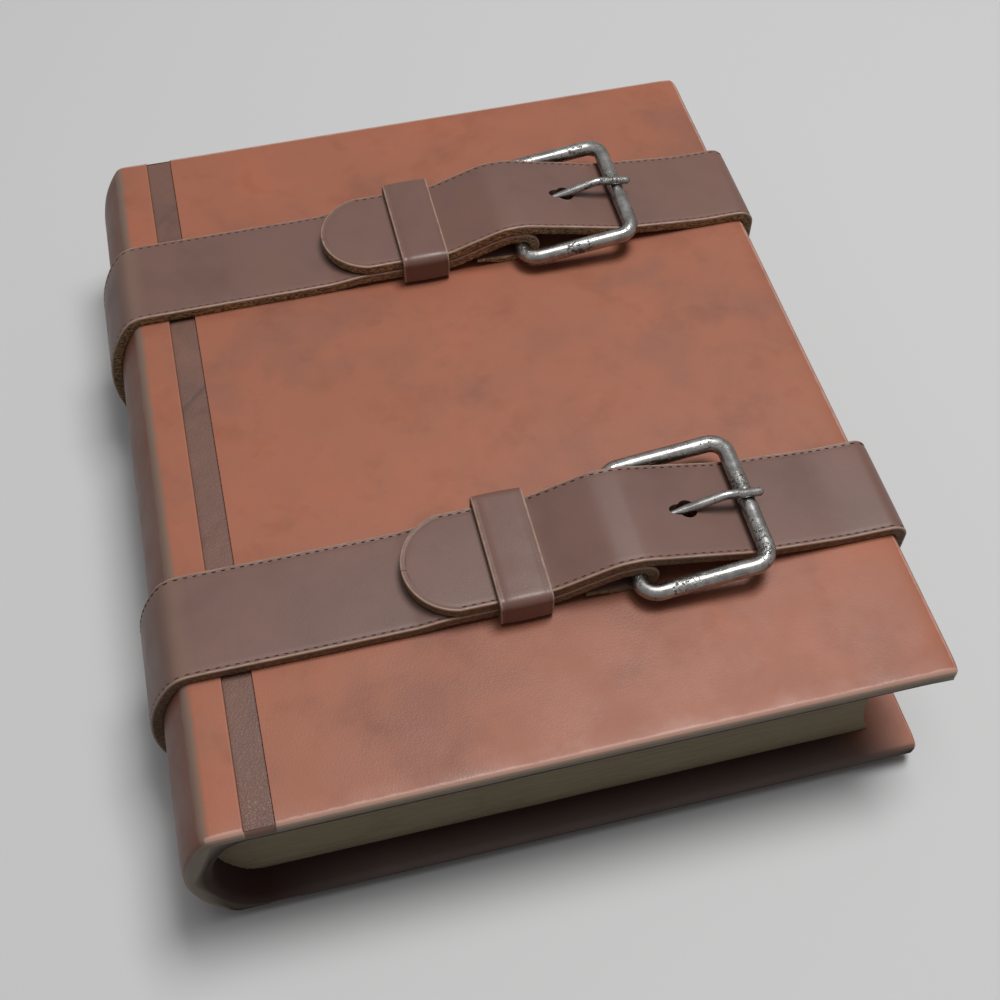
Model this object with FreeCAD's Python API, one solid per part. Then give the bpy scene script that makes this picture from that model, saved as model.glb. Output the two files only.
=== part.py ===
import FreeCAD, Part
import math
import os

from FreeCAD import Vector

# Antique leather book, held shut by two buckled straps. Sizes in millimetres, angles in degrees.
# X runs from the spine (-X) to the fore-edge (+X), Y from the tail (-Y) to the head (+Y).
# Z is up from the surface that the straps rest on. The origin lies under the middle.

# Cover case: one leather-covered C of front board, rounded spine and back board
book_height = 236.0         # tail to head
book_thick = 49.3           # outside of the front board to outside of the back board
case_reach = 198.4          # fore-edge to the crown of the spine
board_thick = 5.2
board_edge = 2.0            # rounding along the fore-edges of the boards
end_edge = 1.5              # rounding round the tail and head ends
spine_slope = 37.0          # lean of the spine's shoulders from upright
spine_shoulder = 4.0        # outer radius where a board turns into the spine
spine_wall = 8.2            # wall at the shoulders, square to the slope
spine_hollow = 8.0          # inner radius at the shoulders

# Joint: a sunk strip of darker leather along the spine side of each board
joint_from_turn = 9.4       # its spine side, from the corner where the board turns down
joint_width = 7.5
joint_sink = 1.0            # surface of the strip below the board
joint_leather = 1.2
joint_rim = 1.2             # leather turned over at tail and head, left whole
joint_rim_sink = 0.4
joint_gap = 0.05

# Page block: one solid between the boards
tail_square = 8.5           # boards stand proud of the pages by this at tail and head
fore_square = 12.0          # and by this at the fore-edge
fore_hollow = 4.2           # the fore-edge of a rounded book is hollow
block_gap = 0.2             # between the back of the pages and the inside of the spine

# Straps: one leather strip each, right round the book
strap_width = 30.0
strap_thick = 3.2
strap_gap = 0.05            # strap to cover
layer_gap = 0.2             # between two layers of one strap
strap_from_middle = 60.9    # middle of the book to middle of each strap
flap_length = 14.0          # end that returns under the buckle
flap_thick = 2.0            # that end is pared thinner
flap_lift = 0.9             # and rises a little towards the strap above
flap_bend = 10.0
fold_flat = 5.0             # level stretch on the spine side of the buckle bar
fold_bend = 8.0
slope_run = 19.6            # bar in the fold to where the strap is down at the keeper's level
level_run = 31.0            # then level as far as this
drop_run = 7.0              # then down to the cover
keeper_bend = 10.0
lift_start = 14.6           # fore-edge to where the long end leaves the cover
lift_slope = 6.0            # its lift on the way to the buckle
lift_bend = 60.0
climb_past = 3.55           # free bar to where the long end climbs over the fold
climb_bend = 22.0
tip_run = 39.4              # level stretch of the long end, with its tip
tip_bow = 0.81              # rounded tip: its length over half the strap's width

# Buckle: a wire frame that turns in the fold, and a prong that turns on its bar
wire = 4.7
bar_reach = 72.0            # fore-edge to the bar in the fold
frame_length = 33.95        # bar to bar
frame_side_gap = 2.65       # strap to the inside of the frame
frame_bend = 4.6            # radius of the wire's centre line
bend_steps = 4              # a bent wire's corner is this many short straight lengths
running_gap = 0.08          # radial gap of a bar in its fold or eye
rest_gap = 0.3              # free bar above the strap that it lies on
prong_wire = 2.5
eye_wall = 1.6              # ring of the prong round the bar
knee_before = 6.25          # bend in the prong, from the axis of the free bar
knee_above = 3.9
knee_bend = 7.0
prong_over = 4.35           # end of the prong beyond the axis of the free bar
prong_tip = 0.6             # bevel round its end
seat_depth = 0.9            # notch in the free bar under the prong
seat_side_gap = 0.45
seat_gap = 0.15
hole = 5.6                  # punched hole round the prong
eye_slot = 3.3              # slot in the fold for the prong's eye
prong_travel = 2.0          # lift of the prong off the bar
frame_travel = 2.0          # lift of the frame off the strap
prong_clear = 0.35

# Keepers: a leather loop each, sliding on the doubled strap
keeper_run = 10.5           # foot of the slope to the middle of the keeper
keeper_width = 13.9
keeper_leather = 1.6
keeper_under = 0.9          # pared thinner where it lies under the strap
keeper_gap = 0.15           # above and below that thinner part
keeper_room = 0.6           # over the strap
keeper_side_gap = 1.3
keeper_edge = 1.4


# Places that follow from the sizes

stand = strap_thick + strap_gap
half_length = (case_reach + 2 * stand) / 2
x_fore = half_length - stand
z_back = stand
z_cover = z_back + book_thick
z_middle = z_back + book_thick / 2
strap_mid = strap_gap + strap_thick / 2

slope = math.radians(spine_slope)
half_thick = book_thick / 2
shoulder_run = spine_shoulder * math.tan((math.pi / 2 - slope) / 2)
crown_radius = (half_thick / math.cos(slope) - shoulder_run) / math.tan(slope)
crown_dip = crown_radius * (1 / math.cos(slope) - 1)
apex_reach = case_reach + crown_dip
turn_reach = apex_reach - half_thick * math.tan(slope)
joint_reach = turn_reach - joint_from_turn

wire_r = wire / 2
fold_inner = wire_r + running_gap
fold_outer = fold_inner + strap_thick
bar_z = z_cover + strap_gap + flap_thick + fold_inner
prong_r = prong_wire / 2
frame_width = strap_width + 2 * frame_side_gap + 2 * wire
free_reach = bar_reach - frame_length
climb_start = free_reach + climb_past
slope_end = bar_reach + slope_run
tip_reach = slope_end + tip_run
tip_base = tip_reach - tip_bow * strap_width / 2
keeper_reach = slope_end + keeper_run
keeper_out = keeper_gap + keeper_under


def x_at(reach):
    """X of a place that lies this far from the fore-edge, towards the spine."""
    return x_fore - reach


bar_x = x_at(bar_reach)


# Plane outlines: a chain is a list of corners (x, z, radius)

def turn_at(before, corner, after):
    """Unit directions into and out of a corner, and the signed turn between them."""
    into = Vector(corner[0] - before[0], 0, corner[1] - before[1]).normalize()
    out = Vector(after[0] - corner[0], 0, after[1] - corner[1]).normalize()
    turn = math.atan2(into.x * out.z - into.z * out.x, into.dot(out))
    return into, out, turn


def round_corner(before, corner, after):
    """The points where a corner's arc starts, passes its middle and ends."""
    into, out, turn = turn_at(before, corner, after)
    tip = Vector(corner[0], 0, corner[1])
    radius = corner[2]
    if radius < 1e-6 or abs(turn) < 1e-6:
        return [tip]
    run = radius * math.tan(abs(turn) / 2)
    inward = (out - into).normalize()
    middle = tip + inward * radius * (1 / math.cos(turn / 2) - 1)
    return [tip - into * run, middle, tip + out * run]


def chain_edges(corners, closed=False):
    """Lines and tangent arcs along a chain."""
    count = len(corners)
    stops = []
    for i, corner in enumerate(corners):
        if closed or 0 < i < count - 1:
            stops.append(round_corner(corners[i - 1], corner, corners[(i + 1) % count]))
        else:
            stops.append([Vector(corner[0], 0, corner[1])])
    edges = []
    for i, stop in enumerate(stops):
        if len(stop) == 3:
            edges.append(Part.Arc(*stop).toShape())
        if closed or i < count - 1:
            following = stops[(i + 1) % count][0]
            if stop[-1].distanceToPoint(following) > 1e-5:
                edges.append(Part.LineSegment(stop[-1], following).toShape())
    return edges


def offset_chain(corners, distance):
    """The same open chain moved to its left by a distance; arcs stay concentric."""
    moved = []
    last = len(corners) - 1
    for i, corner in enumerate(corners):
        before = corners[i - 1] if i else corner
        after = corners[i + 1] if i < last else corner
        if i == 0 or i == last:
            along = Vector(after[0] - before[0], 0, after[1] - before[1]).normalize()
            moved.append((corner[0] - along.z * distance, corner[1] + along.x * distance, 0.0))
            continue
        into, out, turn = turn_at(before, corner, after)
        left = Vector(-into.z - out.z, 0, into.x + out.x).normalize()
        reach = distance / math.cos(turn / 2)
        radius = corner[2] - distance if turn > 0 else corner[2] + distance
        moved.append((corner[0] + left.x * reach, corner[1] + left.z * reach, radius))
    return moved


def extrude_outline(edges, y_start, width):
    """A solid from a closed plane outline, run along Y."""
    face = Part.Face(Part.Wire(Part.__sortEdges__(edges)))
    solid = face.extrude(Vector(0, width, 0))
    solid.translate(Vector(0, y_start, 0))
    return solid


def ribbon(midline, thickness, y_start, width):
    """A strip of even thickness along a chain."""
    left = offset_chain(midline, thickness / 2)
    right = offset_chain(midline, -thickness / 2)
    edges = chain_edges(left) + chain_edges(right)
    for end in (0, -1):
        start = Vector(left[end][0], 0, left[end][1])
        stop = Vector(right[end][0], 0, right[end][1])
        edges.append(Part.LineSegment(start, stop).toShape())
    return extrude_outline(edges, y_start, width)


def wire_line(corners, closed=False):
    """The centre line of a bent wire, in straight lengths, with each bend in short steps."""
    count = len(corners)
    points = []
    for i, corner in enumerate(corners):
        if not closed and i in (0, count - 1):
            points.append(Vector(corner[0], 0, corner[1]))
            continue
        start, middle, stop = round_corner(corners[i - 1], corner, corners[(i + 1) % count])
        points += Part.Arc(start, middle, stop).toShape().discretize(bend_steps + 1)
    if closed:
        start, stop = points[-1], points[0]
        points = [(start + stop) / 2] + points + [(start + stop) / 2]
    return Part.makePolygon(points)


def bent_wire(line, radius):
    """A round wire along such a line, mitred at each step."""
    start = line.Edges[0].Vertexes[0].Point
    way = line.Edges[0].Vertexes[1].Point - start
    section = Part.Wire(Part.Circle(start, way, radius).toShape())
    solid = line.makePipeShell([section], True, False, 1)
    if solid.Volume < 0:
        solid.reverse()
    return solid


def rod(start, direction, radius, length):
    return Part.makeCylinder(radius, length, start, direction)


# Cover case

def case_outer():
    """Outline of the closed case from the front fore-edge round the spine to the back."""
    return [
        (x_fore, z_cover, board_edge),
        (x_at(turn_reach), z_cover, spine_shoulder),
        (x_at(apex_reach), z_middle, crown_radius),
        (x_at(turn_reach), z_back, spine_shoulder),
        (x_fore, z_back, board_edge),
    ]


def case_inner(clearance=0.0):
    """Inside of the spine, from the back board round to the front board."""
    wall = spine_wall + clearance
    along = (board_thick - wall * math.sin(slope)) / math.cos(slope)
    shoulder_reach = turn_reach - wall * math.cos(slope) + along * math.sin(slope)
    inner_apex = apex_reach - wall / math.cos(slope)
    inner_run = spine_hollow * math.tan((math.pi / 2 - slope) / 2)
    inner_half = half_thick - board_thick
    inner_radius = (inner_half / math.cos(slope) - inner_run) / math.tan(slope)
    return [
        (x_at(shoulder_reach), z_back + board_thick, spine_hollow),
        (x_at(inner_apex), z_middle, inner_radius),
        (x_at(shoulder_reach), z_cover - board_thick, spine_hollow),
    ]


def make_case():
    corners = case_outer()
    corners.append((x_fore, z_back + board_thick, 0.0))
    corners += case_inner()
    corners.append((x_fore, z_cover - board_thick, 0.0))
    case = extrude_outline(chain_edges(corners, closed=True), -book_height / 2, book_height)
    outside = Part.Wire(chain_edges(case_outer()))
    ends = []
    for edge in case.Edges:
        middle = edge.valueAt((edge.FirstParameter + edge.LastParameter) / 2)
        seen = Part.Vertex(Vector(middle.x, 0, middle.z)).distToShape(outside)[0] < 1e-4
        if seen and abs(abs(middle.y) - book_height / 2) < 1e-4:
            ends.append(edge)
    case = case.makeFillet(end_edge, ends)
    depth = joint_sink + joint_leather
    x_joint = x_at(joint_reach)
    inner_length = book_height - 2 * joint_rim
    for z_face, side in ((z_cover, -1), (z_back, 1)):
        for sink, length in ((joint_rim_sink, book_height), (depth, inner_length)):
            z_low = z_face - sink if side < 0 else z_face
            corner = Vector(x_joint, -length / 2, z_low)
            case = case.cut(Part.makeBox(joint_width, length, sink, corner))
    return case


def make_joint_strip(z_low):
    length = book_height - 2 * joint_rim - 2 * joint_gap
    width = joint_width - 2 * joint_gap
    corner = Vector(x_at(joint_reach) + joint_gap, -length / 2, z_low)
    return Part.makeBox(width, length, joint_leather, corner)


# Page block

def make_page_block():
    back = case_inner(block_gap)
    z_low = z_back + board_thick
    z_high = z_cover - board_thick
    x_edge = x_at(fore_square)
    low = (x_edge, z_low, 0.0)
    high = (x_edge, z_high, 0.0)
    edges = chain_edges([low] + back + [high])
    hollow = Vector(x_at(fore_square + fore_hollow), 0, z_middle)
    edges.append(Part.Arc(Vector(x_edge, 0, z_low), hollow, Vector(x_edge, 0, z_high)).toShape())
    length = book_height - 2 * tail_square
    return extrude_outline(edges, -length / 2, length)


# Straps

def lower_layer():
    """Midline of the strap from its end under the buckle, round the bar and down to the cover."""
    fold_mid = fold_inner + strap_thick / 2
    z_flap = bar_z - fold_mid
    z_over = bar_z + fold_mid
    z_keeper = z_cover + keeper_gap + keeper_out + strap_thick / 2
    z_flat = z_cover + strap_mid
    return [
        (x_at(bar_reach + flap_length), z_flap + flap_lift, 0.0),
        (bar_x - wire_r, z_flap, flap_bend),
        (bar_x + fold_mid, z_flap, fold_mid),
        (bar_x + fold_mid, z_over, fold_mid),
        (bar_x - fold_flat, z_over, fold_bend),
        (x_at(slope_end), z_keeper, keeper_bend),
        (x_at(slope_end + level_run), z_keeper, keeper_bend),
        (x_at(slope_end + level_run + drop_run), z_flat, keeper_bend),
    ]


def round_the_book():
    """Midline over the spine, under the back board and up the fore-edge."""
    corners = case_outer()
    closed = corners + [corners[0]]
    round_case = offset_chain([(0.0, z_cover, 0.0)] + closed[1:] + [(0.0, z_cover, 0.0)], -strap_mid)
    return round_case[1:-1]


def climb():
    """Midline of the long end from the fore-edge to its crest over the fold."""
    z_flat = z_cover + strap_mid
    z_climb = z_flat + (climb_start - lift_start) * math.tan(math.radians(lift_slope))
    crest = fold_outer + layer_gap + strap_thick / 2
    along = x_at(climb_start) - bar_x
    above = z_climb - bar_z
    reach = math.hypot(along, above)
    rise = math.pi / 2 - math.atan2(above, along) - math.acos(crest / reach)
    return [
        (x_at(lift_start), z_flat, lift_bend),
        (x_at(climb_start), z_climb, climb_bend),
        (bar_x + crest * math.tan(rise / 2), bar_z + crest, crest),
    ]


def upper_layer():
    """Midline of the long end from the crest down through the keeper to the tip."""
    lower = lower_layer()
    end = (x_at(tip_base), lower[5][1], 0.0)
    return offset_chain([lower[3], lower[4], lower[5], end], -(strap_thick + layer_gap))[1:]


def strap_midline():
    return lower_layer() + round_the_book() + climb() + upper_layer()


def make_tip(z_low, y_middle):
    """The rounded end of the strap, as seen from above."""
    x_base = x_at(tip_base)
    half = strap_width / 2
    near = Vector(x_base, y_middle - half, z_low)
    far = Vector(x_base, y_middle + half, z_low)
    end = Vector(x_at(tip_reach), y_middle, z_low)
    edges = [Part.Arc(near, end, far).toShape(), Part.LineSegment(far, near).toShape()]
    return Part.Face(Part.Wire(edges)).extrude(Vector(0, 0, strap_thick))


def make_paring():
    """What is pared off the underside of the end that returns under the bar."""
    end, bend = lower_layer()[:2]
    spare = 1.0
    past = (bar_x + fold_outer + spare, bend[1], 0.0)
    middle = offset_chain([end, bend, past], -(flap_thick + spare) / 2)
    along = Vector(bend[0] - end[0], 0, bend[1] - end[1]).normalize()
    middle[0] = (middle[0][0] - along.x * spare, middle[0][1] - along.z * spare, 0.0)
    return ribbon(middle, strap_thick - flap_thick + spare, -strap_width, 2 * strap_width)


def make_strap(y_middle):
    midline = strap_midline()
    strap = ribbon(midline, strap_thick, -strap_width / 2, strap_width).cut(make_paring())
    strap.translate(Vector(0, y_middle, 0))
    strap = strap.fuse(make_tip(midline[-1][1] - strap_thick / 2, y_middle)).removeSplitter()

    # Slot in the fold, so that the prong's eye can sit on the bar
    slot_start = Vector(bar_x, y_middle - eye_slot / 2, bar_z)
    strap = strap.cut(rod(slot_start, Vector(0, 1, 0), fold_outer + layer_gap / 2, eye_slot))

    # Punched hole, square to the climbing strap, and the prong's way through the leather
    shank = prong_knee()[2]
    foot, crest = climb()[1:]
    down = math.atan2(crest[1] - foot[1], foot[0] - crest[0])
    along = foot[0] - bar_x
    above = foot[1] - bar_z
    meet = (above + along * math.tan(down)) / (math.tan(shank) + math.tan(down))
    centre = Vector(bar_x + meet, y_middle, bar_z + meet * math.tan(shank))
    up = Vector(math.sin(down), 0, math.cos(down))
    right = Vector(math.cos(down), 0, -math.sin(down))
    half_way = strap_thick / 2 / math.tan(shank + down)
    punch = centre + right * half_way - up * strap_thick
    strap = strap.cut(rod(punch, up, hole / 2, 2 * strap_thick))
    travel = prong_travel + frame_travel
    for lift in (0.0, travel / 3, travel * 2 / 3, travel):
        angle = shank + math.radians(lift)
        way = Vector(math.cos(angle), 0, math.sin(angle))
        start = Vector(bar_x, y_middle, bar_z) + way * (fold_outer + strap_thick / 2)
        strap = strap.cut(rod(start, way, prong_r + prong_clear, frame_length - 2 * fold_outer))
    return strap


# Buckles

def free_bar():
    """Centre of the free bar at rest, from the axis of the bar in the fold."""
    flat = z_cover + strap_mid
    z_strap = flat + (free_reach - lift_start) * math.tan(math.radians(lift_slope))
    top = z_strap + strap_thick / 2 / math.cos(math.radians(lift_slope))
    up = top + rest_gap + wire_r - bar_z
    return math.sqrt(frame_length ** 2 - up ** 2), up


def prong_knee():
    """The prong's bend, from the same axis, and the slope of its shank."""
    along, up = free_bar()
    x_knee = along - knee_before
    z_knee = up + knee_above
    return x_knee, z_knee, math.atan2(z_knee, x_knee)


def prong_line():
    """Where the prong crosses the free bar, and its slope beyond the knee."""
    up = free_bar()[1]
    over = up + wire_r - seat_depth + seat_gap + prong_r
    return over, math.atan2(over - prong_knee()[1], knee_before)


def make_frame(y_middle):
    half = frame_width / 2 - wire_r
    corners = [
        (0.0, -half, frame_bend),
        (frame_length, -half, frame_bend),
        (frame_length, half, frame_bend),
        (0.0, half, frame_bend),
    ]
    frame = bent_wire(wire_line(corners, closed=True), wire_r)
    frame.rotate(Vector(0, 0, 0), Vector(1, 0, 0), -90)
    along, up = free_bar()
    frame.rotate(Vector(0, 0, 0), Vector(0, 1, 0), -math.degrees(math.atan2(up, along)))

    # Notch in the free bar, in which the prong lies
    over, fall = prong_line()
    notch_r = prong_r + seat_side_gap
    way = Vector(math.cos(fall), 0, math.sin(fall))
    middle = Vector(along, 0, up + wire_r - seat_depth + notch_r)
    frame = frame.cut(rod(middle - way * wire, way, notch_r, 2 * wire))
    frame.translate(Vector(bar_x, y_middle, bar_z))
    return frame


def make_prong(y_middle):
    along, up = free_bar()
    over, fall = prong_line()
    x_knee, z_knee, shank = prong_knee()
    eye_r = fold_inner + eye_wall / 2
    start = (eye_r * math.cos(shank), eye_r * math.sin(shank), 0.0)
    knee = (x_knee, z_knee, knee_bend)
    end = (along + prong_over, over + prong_over * math.tan(fall), 0.0)
    prong = bent_wire(wire_line([start, knee, end]), prong_r)
    rims = [e for e in prong.Edges if e.CenterOfMass.distanceToPoint(Vector(end[0], 0, end[1])) < 0.01]
    prong = prong.makeChamfer(prong_tip, rims)

    # Ring that turns on the bar in the fold
    side = Vector(0, -prong_r, 0)
    ring = rod(side, Vector(0, 1, 0), fold_inner + eye_wall, prong_wire)
    prong = prong.fuse(ring).cut(rod(side * 2, Vector(0, 1, 0), fold_inner, 2 * prong_wire))
    prong.translate(Vector(bar_x, y_middle, bar_z))
    return prong


# Keepers

def make_keeper(y_middle):
    z_top = strap_midline()[-1][1] + strap_thick / 2 + keeper_room
    z_low = z_cover + keeper_out
    half = strap_width / 2 + keeper_side_gap
    x_start = x_at(keeper_reach) - keeper_width / 2
    outer = Part.makeBox(
        keeper_width, 2 * (half + keeper_leather), z_top - z_low + keeper_leather + keeper_under,
        Vector(x_start, y_middle - half - keeper_leather, z_low - keeper_under))
    long_edges = [e for e in outer.Edges if abs(e.tangentAt(e.FirstParameter).x) > 0.99]
    outer = outer.makeFillet(keeper_edge, long_edges)
    inner = Part.makeBox(
        keeper_width, 2 * half, z_top - z_low, Vector(x_start, y_middle - half, z_low))
    return outer.cut(inner)


def save(name, shape):
    solids = shape.Solids
    ok = shape.isValid() and len(solids) == 1
    shape = solids[0] if len(solids) == 1 else shape
    shape.exportStep("parts/%s.step" % name)
    box = shape.BoundBox
    print("%-20s %s %9.1f mm3  x %7.2f %7.2f  y %7.2f %7.2f  z %6.2f %6.2f" % (
        name, "ok " if ok else "BAD", shape.Volume,
        box.XMin, box.XMax, box.YMin, box.YMax, box.ZMin, box.ZMax))


os.makedirs("parts", exist_ok=True)
save("cover_case", make_case())
save("front_joint_strip", make_joint_strip(z_cover - joint_sink - joint_leather))
save("back_joint_strip", make_joint_strip(z_back + joint_sink))
save("page_block", make_page_block())
for place, side in (("tail", -1), ("head", 1)):
    y_strap = side * strap_from_middle
    save(place + "_strap", make_strap(y_strap))
    save(place + "_buckle_frame", make_frame(y_strap))
    save(place + "_prong", make_prong(y_strap))
    save(place + "_keeper", make_keeper(y_strap))
print("bar in the fold: x %.3f z %.3f, free bar: %.3f along, %.3f up" % ((bar_x, bar_z) + free_bar()))
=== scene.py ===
# %% [markdown]
# An old leather book, held shut by two buckled straps
#
# The real thing is a thick book in red-brown leather, with one strap near its tail and one near
# its head. Its solids are finished and come in as the frame. They could be painted as they are, but
# leather needs soft edges, creases and stitches. So each step makes one visible piece that takes
# the place of a solid, or mixes one finish.

# %% Load the frame
import bisect
import math

import bmesh
import bpy
from mathutils import Matrix, Vector, noise


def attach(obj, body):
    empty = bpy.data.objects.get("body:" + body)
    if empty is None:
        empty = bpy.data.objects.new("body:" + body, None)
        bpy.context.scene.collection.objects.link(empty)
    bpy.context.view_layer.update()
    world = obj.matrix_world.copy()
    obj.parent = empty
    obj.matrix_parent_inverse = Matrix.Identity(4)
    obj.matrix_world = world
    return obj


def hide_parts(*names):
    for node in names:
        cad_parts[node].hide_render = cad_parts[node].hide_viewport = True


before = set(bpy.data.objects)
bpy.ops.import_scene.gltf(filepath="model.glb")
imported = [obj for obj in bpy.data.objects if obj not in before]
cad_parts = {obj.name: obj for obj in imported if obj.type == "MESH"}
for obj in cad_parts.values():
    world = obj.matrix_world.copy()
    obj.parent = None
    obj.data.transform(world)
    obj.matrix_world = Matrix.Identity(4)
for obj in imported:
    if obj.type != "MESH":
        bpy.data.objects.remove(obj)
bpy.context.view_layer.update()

# %% [markdown]
# Sizes of the real book
#
# A bookbinder measures in millimetres, so these numbers are millimetres too, and one factor turns
# them into metres when a mesh is made. They could be read off the solids one by one, but a few
# named sizes say more about how the book is made. X runs from the spine to the fore-edge, Y from
# the tail to the head of the pages, and Z is up.

# %% Sizes of the book
MM = 0.001
BOOK_HEIGHT = 236.0
BOOK_THICK = 49.3
CASE_REACH = 198.4
BOARD = 5.2
STRAP_WIDTH = 30.0
STRAP_THICK = 3.2
STRAP_GAP = 0.05
STAND = STRAP_THICK + STRAP_GAP
X_FORE = (CASE_REACH + 2 * STAND) / 2 - STAND
Z_BACK = STAND
Z_COVER = Z_BACK + BOOK_THICK
Z_MIDDLE = Z_BACK + BOOK_THICK / 2
HALF_LONG = BOOK_HEIGHT / 2
STRAP_PLACES = {"tail": -60.9, "head": 60.9}
print("cover at", Z_COVER, "mm, fore-edge at", X_FORE, "mm")

# %% [markdown]
# The camera
#
# The camera stands where the photograph was taken from. It could be aimed by eye, but the book's
# straight edges fix it better: its three directions were worked out from them. A camera looks
# along its own minus Z, so the third column is the way it looks, turned round. It comes first, so
# that every look at the scene is from the same place.

# %% Camera
LOOK = Vector((0.1349598, 0.5543181, -0.8212900))
RIGHT = Vector((0.9714891, -0.2370841, -0.0003750))
UP = Vector((0.1949227, 0.7978236, 0.5705108))
TAIL_FORE_CORNER = Vector((X_FORE, -HALF_LONG, Z_COVER))
CAMERA_PLACE = TAIL_FORE_CORNER + Vector((-150.64, -130.49, 308.59))


def make_camera():
    data = bpy.data.cameras.new("photo_camera")
    data.lens = 50.0
    data.sensor_width = 36.0
    data.clip_start = 0.01
    camera = bpy.data.objects.new("photo_camera", data)
    turn = Matrix((RIGHT, UP, -LOOK)).transposed().to_4x4()
    camera.matrix_world = Matrix.Translation(CAMERA_PLACE * MM) @ turn
    bpy.context.scene.collection.objects.link(camera)
    return camera


bpy.context.scene.camera = make_camera()
print("camera at", [round(v * MM, 3) for v in CAMERA_PLACE])

# %% [markdown]
# Lines with rounded corners
#
# Boards, straps, keepers and bent wire all follow a line of straight runs and round bends. Curve
# objects could hold such lines, but their points can't be steered closely. This helper turns a
# short list of corners into closely spaced stations. Each station keeps its place and the
# direction square to the line, so that a band or a tube can be laid on it.

# %% Where a rounded corner starts
TINY = 1e-6


def bend_at(before, corner, after):
    """Where a corner's arc starts, its centre, its signed turn and the direction into it."""
    into = (Vector(corner[:2]) - Vector(before[:2])).normalized()
    out = (Vector(after[:2]) - Vector(corner[:2])).normalized()
    turning = math.atan2(into.x * out.y - into.y * out.x, into.dot(out))
    run = corner[2] * math.tan(abs(turning) / 2)
    start = Vector(corner[:2]) - into * run
    side = 1.0 if turning > 0 else -1.0
    left = Vector((-into.y, into.x))
    return start, start + left * corner[2] * side, turning, into


# %% Stations along a line with rounded corners
WIDEST_TURN = math.radians(9)


def stations(corners, step, arc_step=None, closed=False):
    """Places along a chain of corners (a, b, radius), each with its left-hand normal."""
    arc_step = arc_step or step
    found = []
    count = len(corners)

    def run_to(start, stop, way):
        length = (stop - start).length
        pieces = max(1, int(math.ceil(length / step)))
        left = Vector((-way.y, way.x))
        if length > TINY:
            for i in range(pieces):
                found.append((start.lerp(stop, i / pieces), left.copy()))

    here = None
    order = range(count) if closed else range(1, count - 1)
    if not closed:
        here = Vector(corners[0][:2])
    first = None
    for i in order:
        before, corner, after = corners[i - 1], corners[i], corners[(i + 1) % count]
        start, centre, turning, into = bend_at(before, corner, after)
        if here is not None:
            run_to(here, start, into)
        if first is None:
            first = start
        radius = corner[2]
        left = Vector((-into.y, into.x))
        if radius > TINY:
            pieces = max(2, int(math.ceil(abs(turning) * radius / arc_step)),
                         int(math.ceil(abs(turning) / WIDEST_TURN)))
            for k in range(pieces):
                angle = turning * k / pieces
                swing = Matrix.Rotation(angle, 2)
                found.append((centre + swing @ (start - centre), swing @ left))
            here = centre + Matrix.Rotation(turning, 2) @ (start - centre)
        else:
            here = start
    if closed:
        into = (first - here).normalized()
        run_to(here, first, into)
        return found
    way = (Vector(corners[-1][:2]) - here).normalized()
    run_to(here, Vector(corners[-1][:2]), way)
    found.append((Vector(corners[-1][:2]), Vector((-way.y, way.x))))
    return found


print("stations on a straight 10 mm:", len(stations([(0, 0, 0), (10, 0, 0)], 1.0)))

# %% Move a line sideways
def move_left(corners, distance):
    """The same open chain moved to its left; its arcs keep their centres."""
    moved = []
    last = len(corners) - 1
    for i, corner in enumerate(corners):
        before, after = corners[max(i - 1, 0)], corners[min(i + 1, last)]
        if i in (0, last):
            along = (Vector(after[:2]) - Vector(before[:2])).normalized()
            moved.append((corner[0] - along.y * distance, corner[1] + along.x * distance, 0.0))
            continue
        _, _, turning, into = bend_at(before, corner, after)
        out = Matrix.Rotation(turning, 2) @ into
        left = Vector((-into.y - out.y, into.x + out.x)).normalized()
        reach = distance / math.cos(turning / 2)
        radius = corner[2] - distance if turning > 0 else corner[2] + distance
        moved.append((corner[0] + left.x * reach, corner[1] + left.y * reach, radius))
    return moved


# %% [markdown]
# From rings of points to a piece
#
# A ring is one loop of points round a band. Joining each ring to the next gives clean four-sided
# faces, which shade and bend well. Modifiers could sweep a section too, but here each point may
# carry numbers, such as how worn it is, and the finishes read those numbers as attributes.

# %% Skin rings of points, and make an object from them
def new_piece(name, points, faces, marks, smooth_angle=40.0):
    """A mesh object from millimetre points; marks is {attribute: one number per point}."""
    mesh = bpy.data.meshes.new(name)
    mesh.from_pydata([(x * MM, y * MM, z * MM) for x, y, z in points], [], faces)
    for mark, values in marks.items():
        layer = mesh.attributes.new(mark, "FLOAT", "POINT")
        layer.data.foreach_set("value", values)
    mesh.update()
    work = bmesh.new()
    work.from_mesh(mesh)
    bmesh.ops.remove_doubles(work, verts=work.verts, dist=1e-7)
    bmesh.ops.recalc_face_normals(work, faces=work.faces)
    work.to_mesh(mesh)
    work.free()
    mesh.shade_smooth()
    mesh.set_sharp_from_angle(angle=math.radians(smooth_angle))
    piece = bpy.data.objects.new(name, mesh)
    bpy.context.scene.collection.objects.link(piece)
    return piece


def skin(rings, closed=False, cap=True):
    """Faces between equal rings of points, with a face over each open end."""
    points = [p for ring in rings for p in ring]
    size = len(rings[0])
    faces = []
    last = len(rings) if closed else len(rings) - 1
    for r in range(last):
        a, b = r * size, ((r + 1) % len(rings)) * size
        for i in range(size):
            j = (i + 1) % size
            faces.append((a + i, a + j, b + j, b + i))
    if cap and not closed:
        faces.append(tuple(range(size - 1, -1, -1)))
        faces.append(tuple(range(len(points) - size, len(points))))
    return points, faces


def waver(x, y, z, scale, seed=0.0):
    """Smooth noise from -1 to 1; scale is the size of its lumps in millimetres."""
    return noise.noise(Vector((x / scale + seed, y / scale - seed * 0.7, z / scale + seed * 1.3)))


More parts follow.
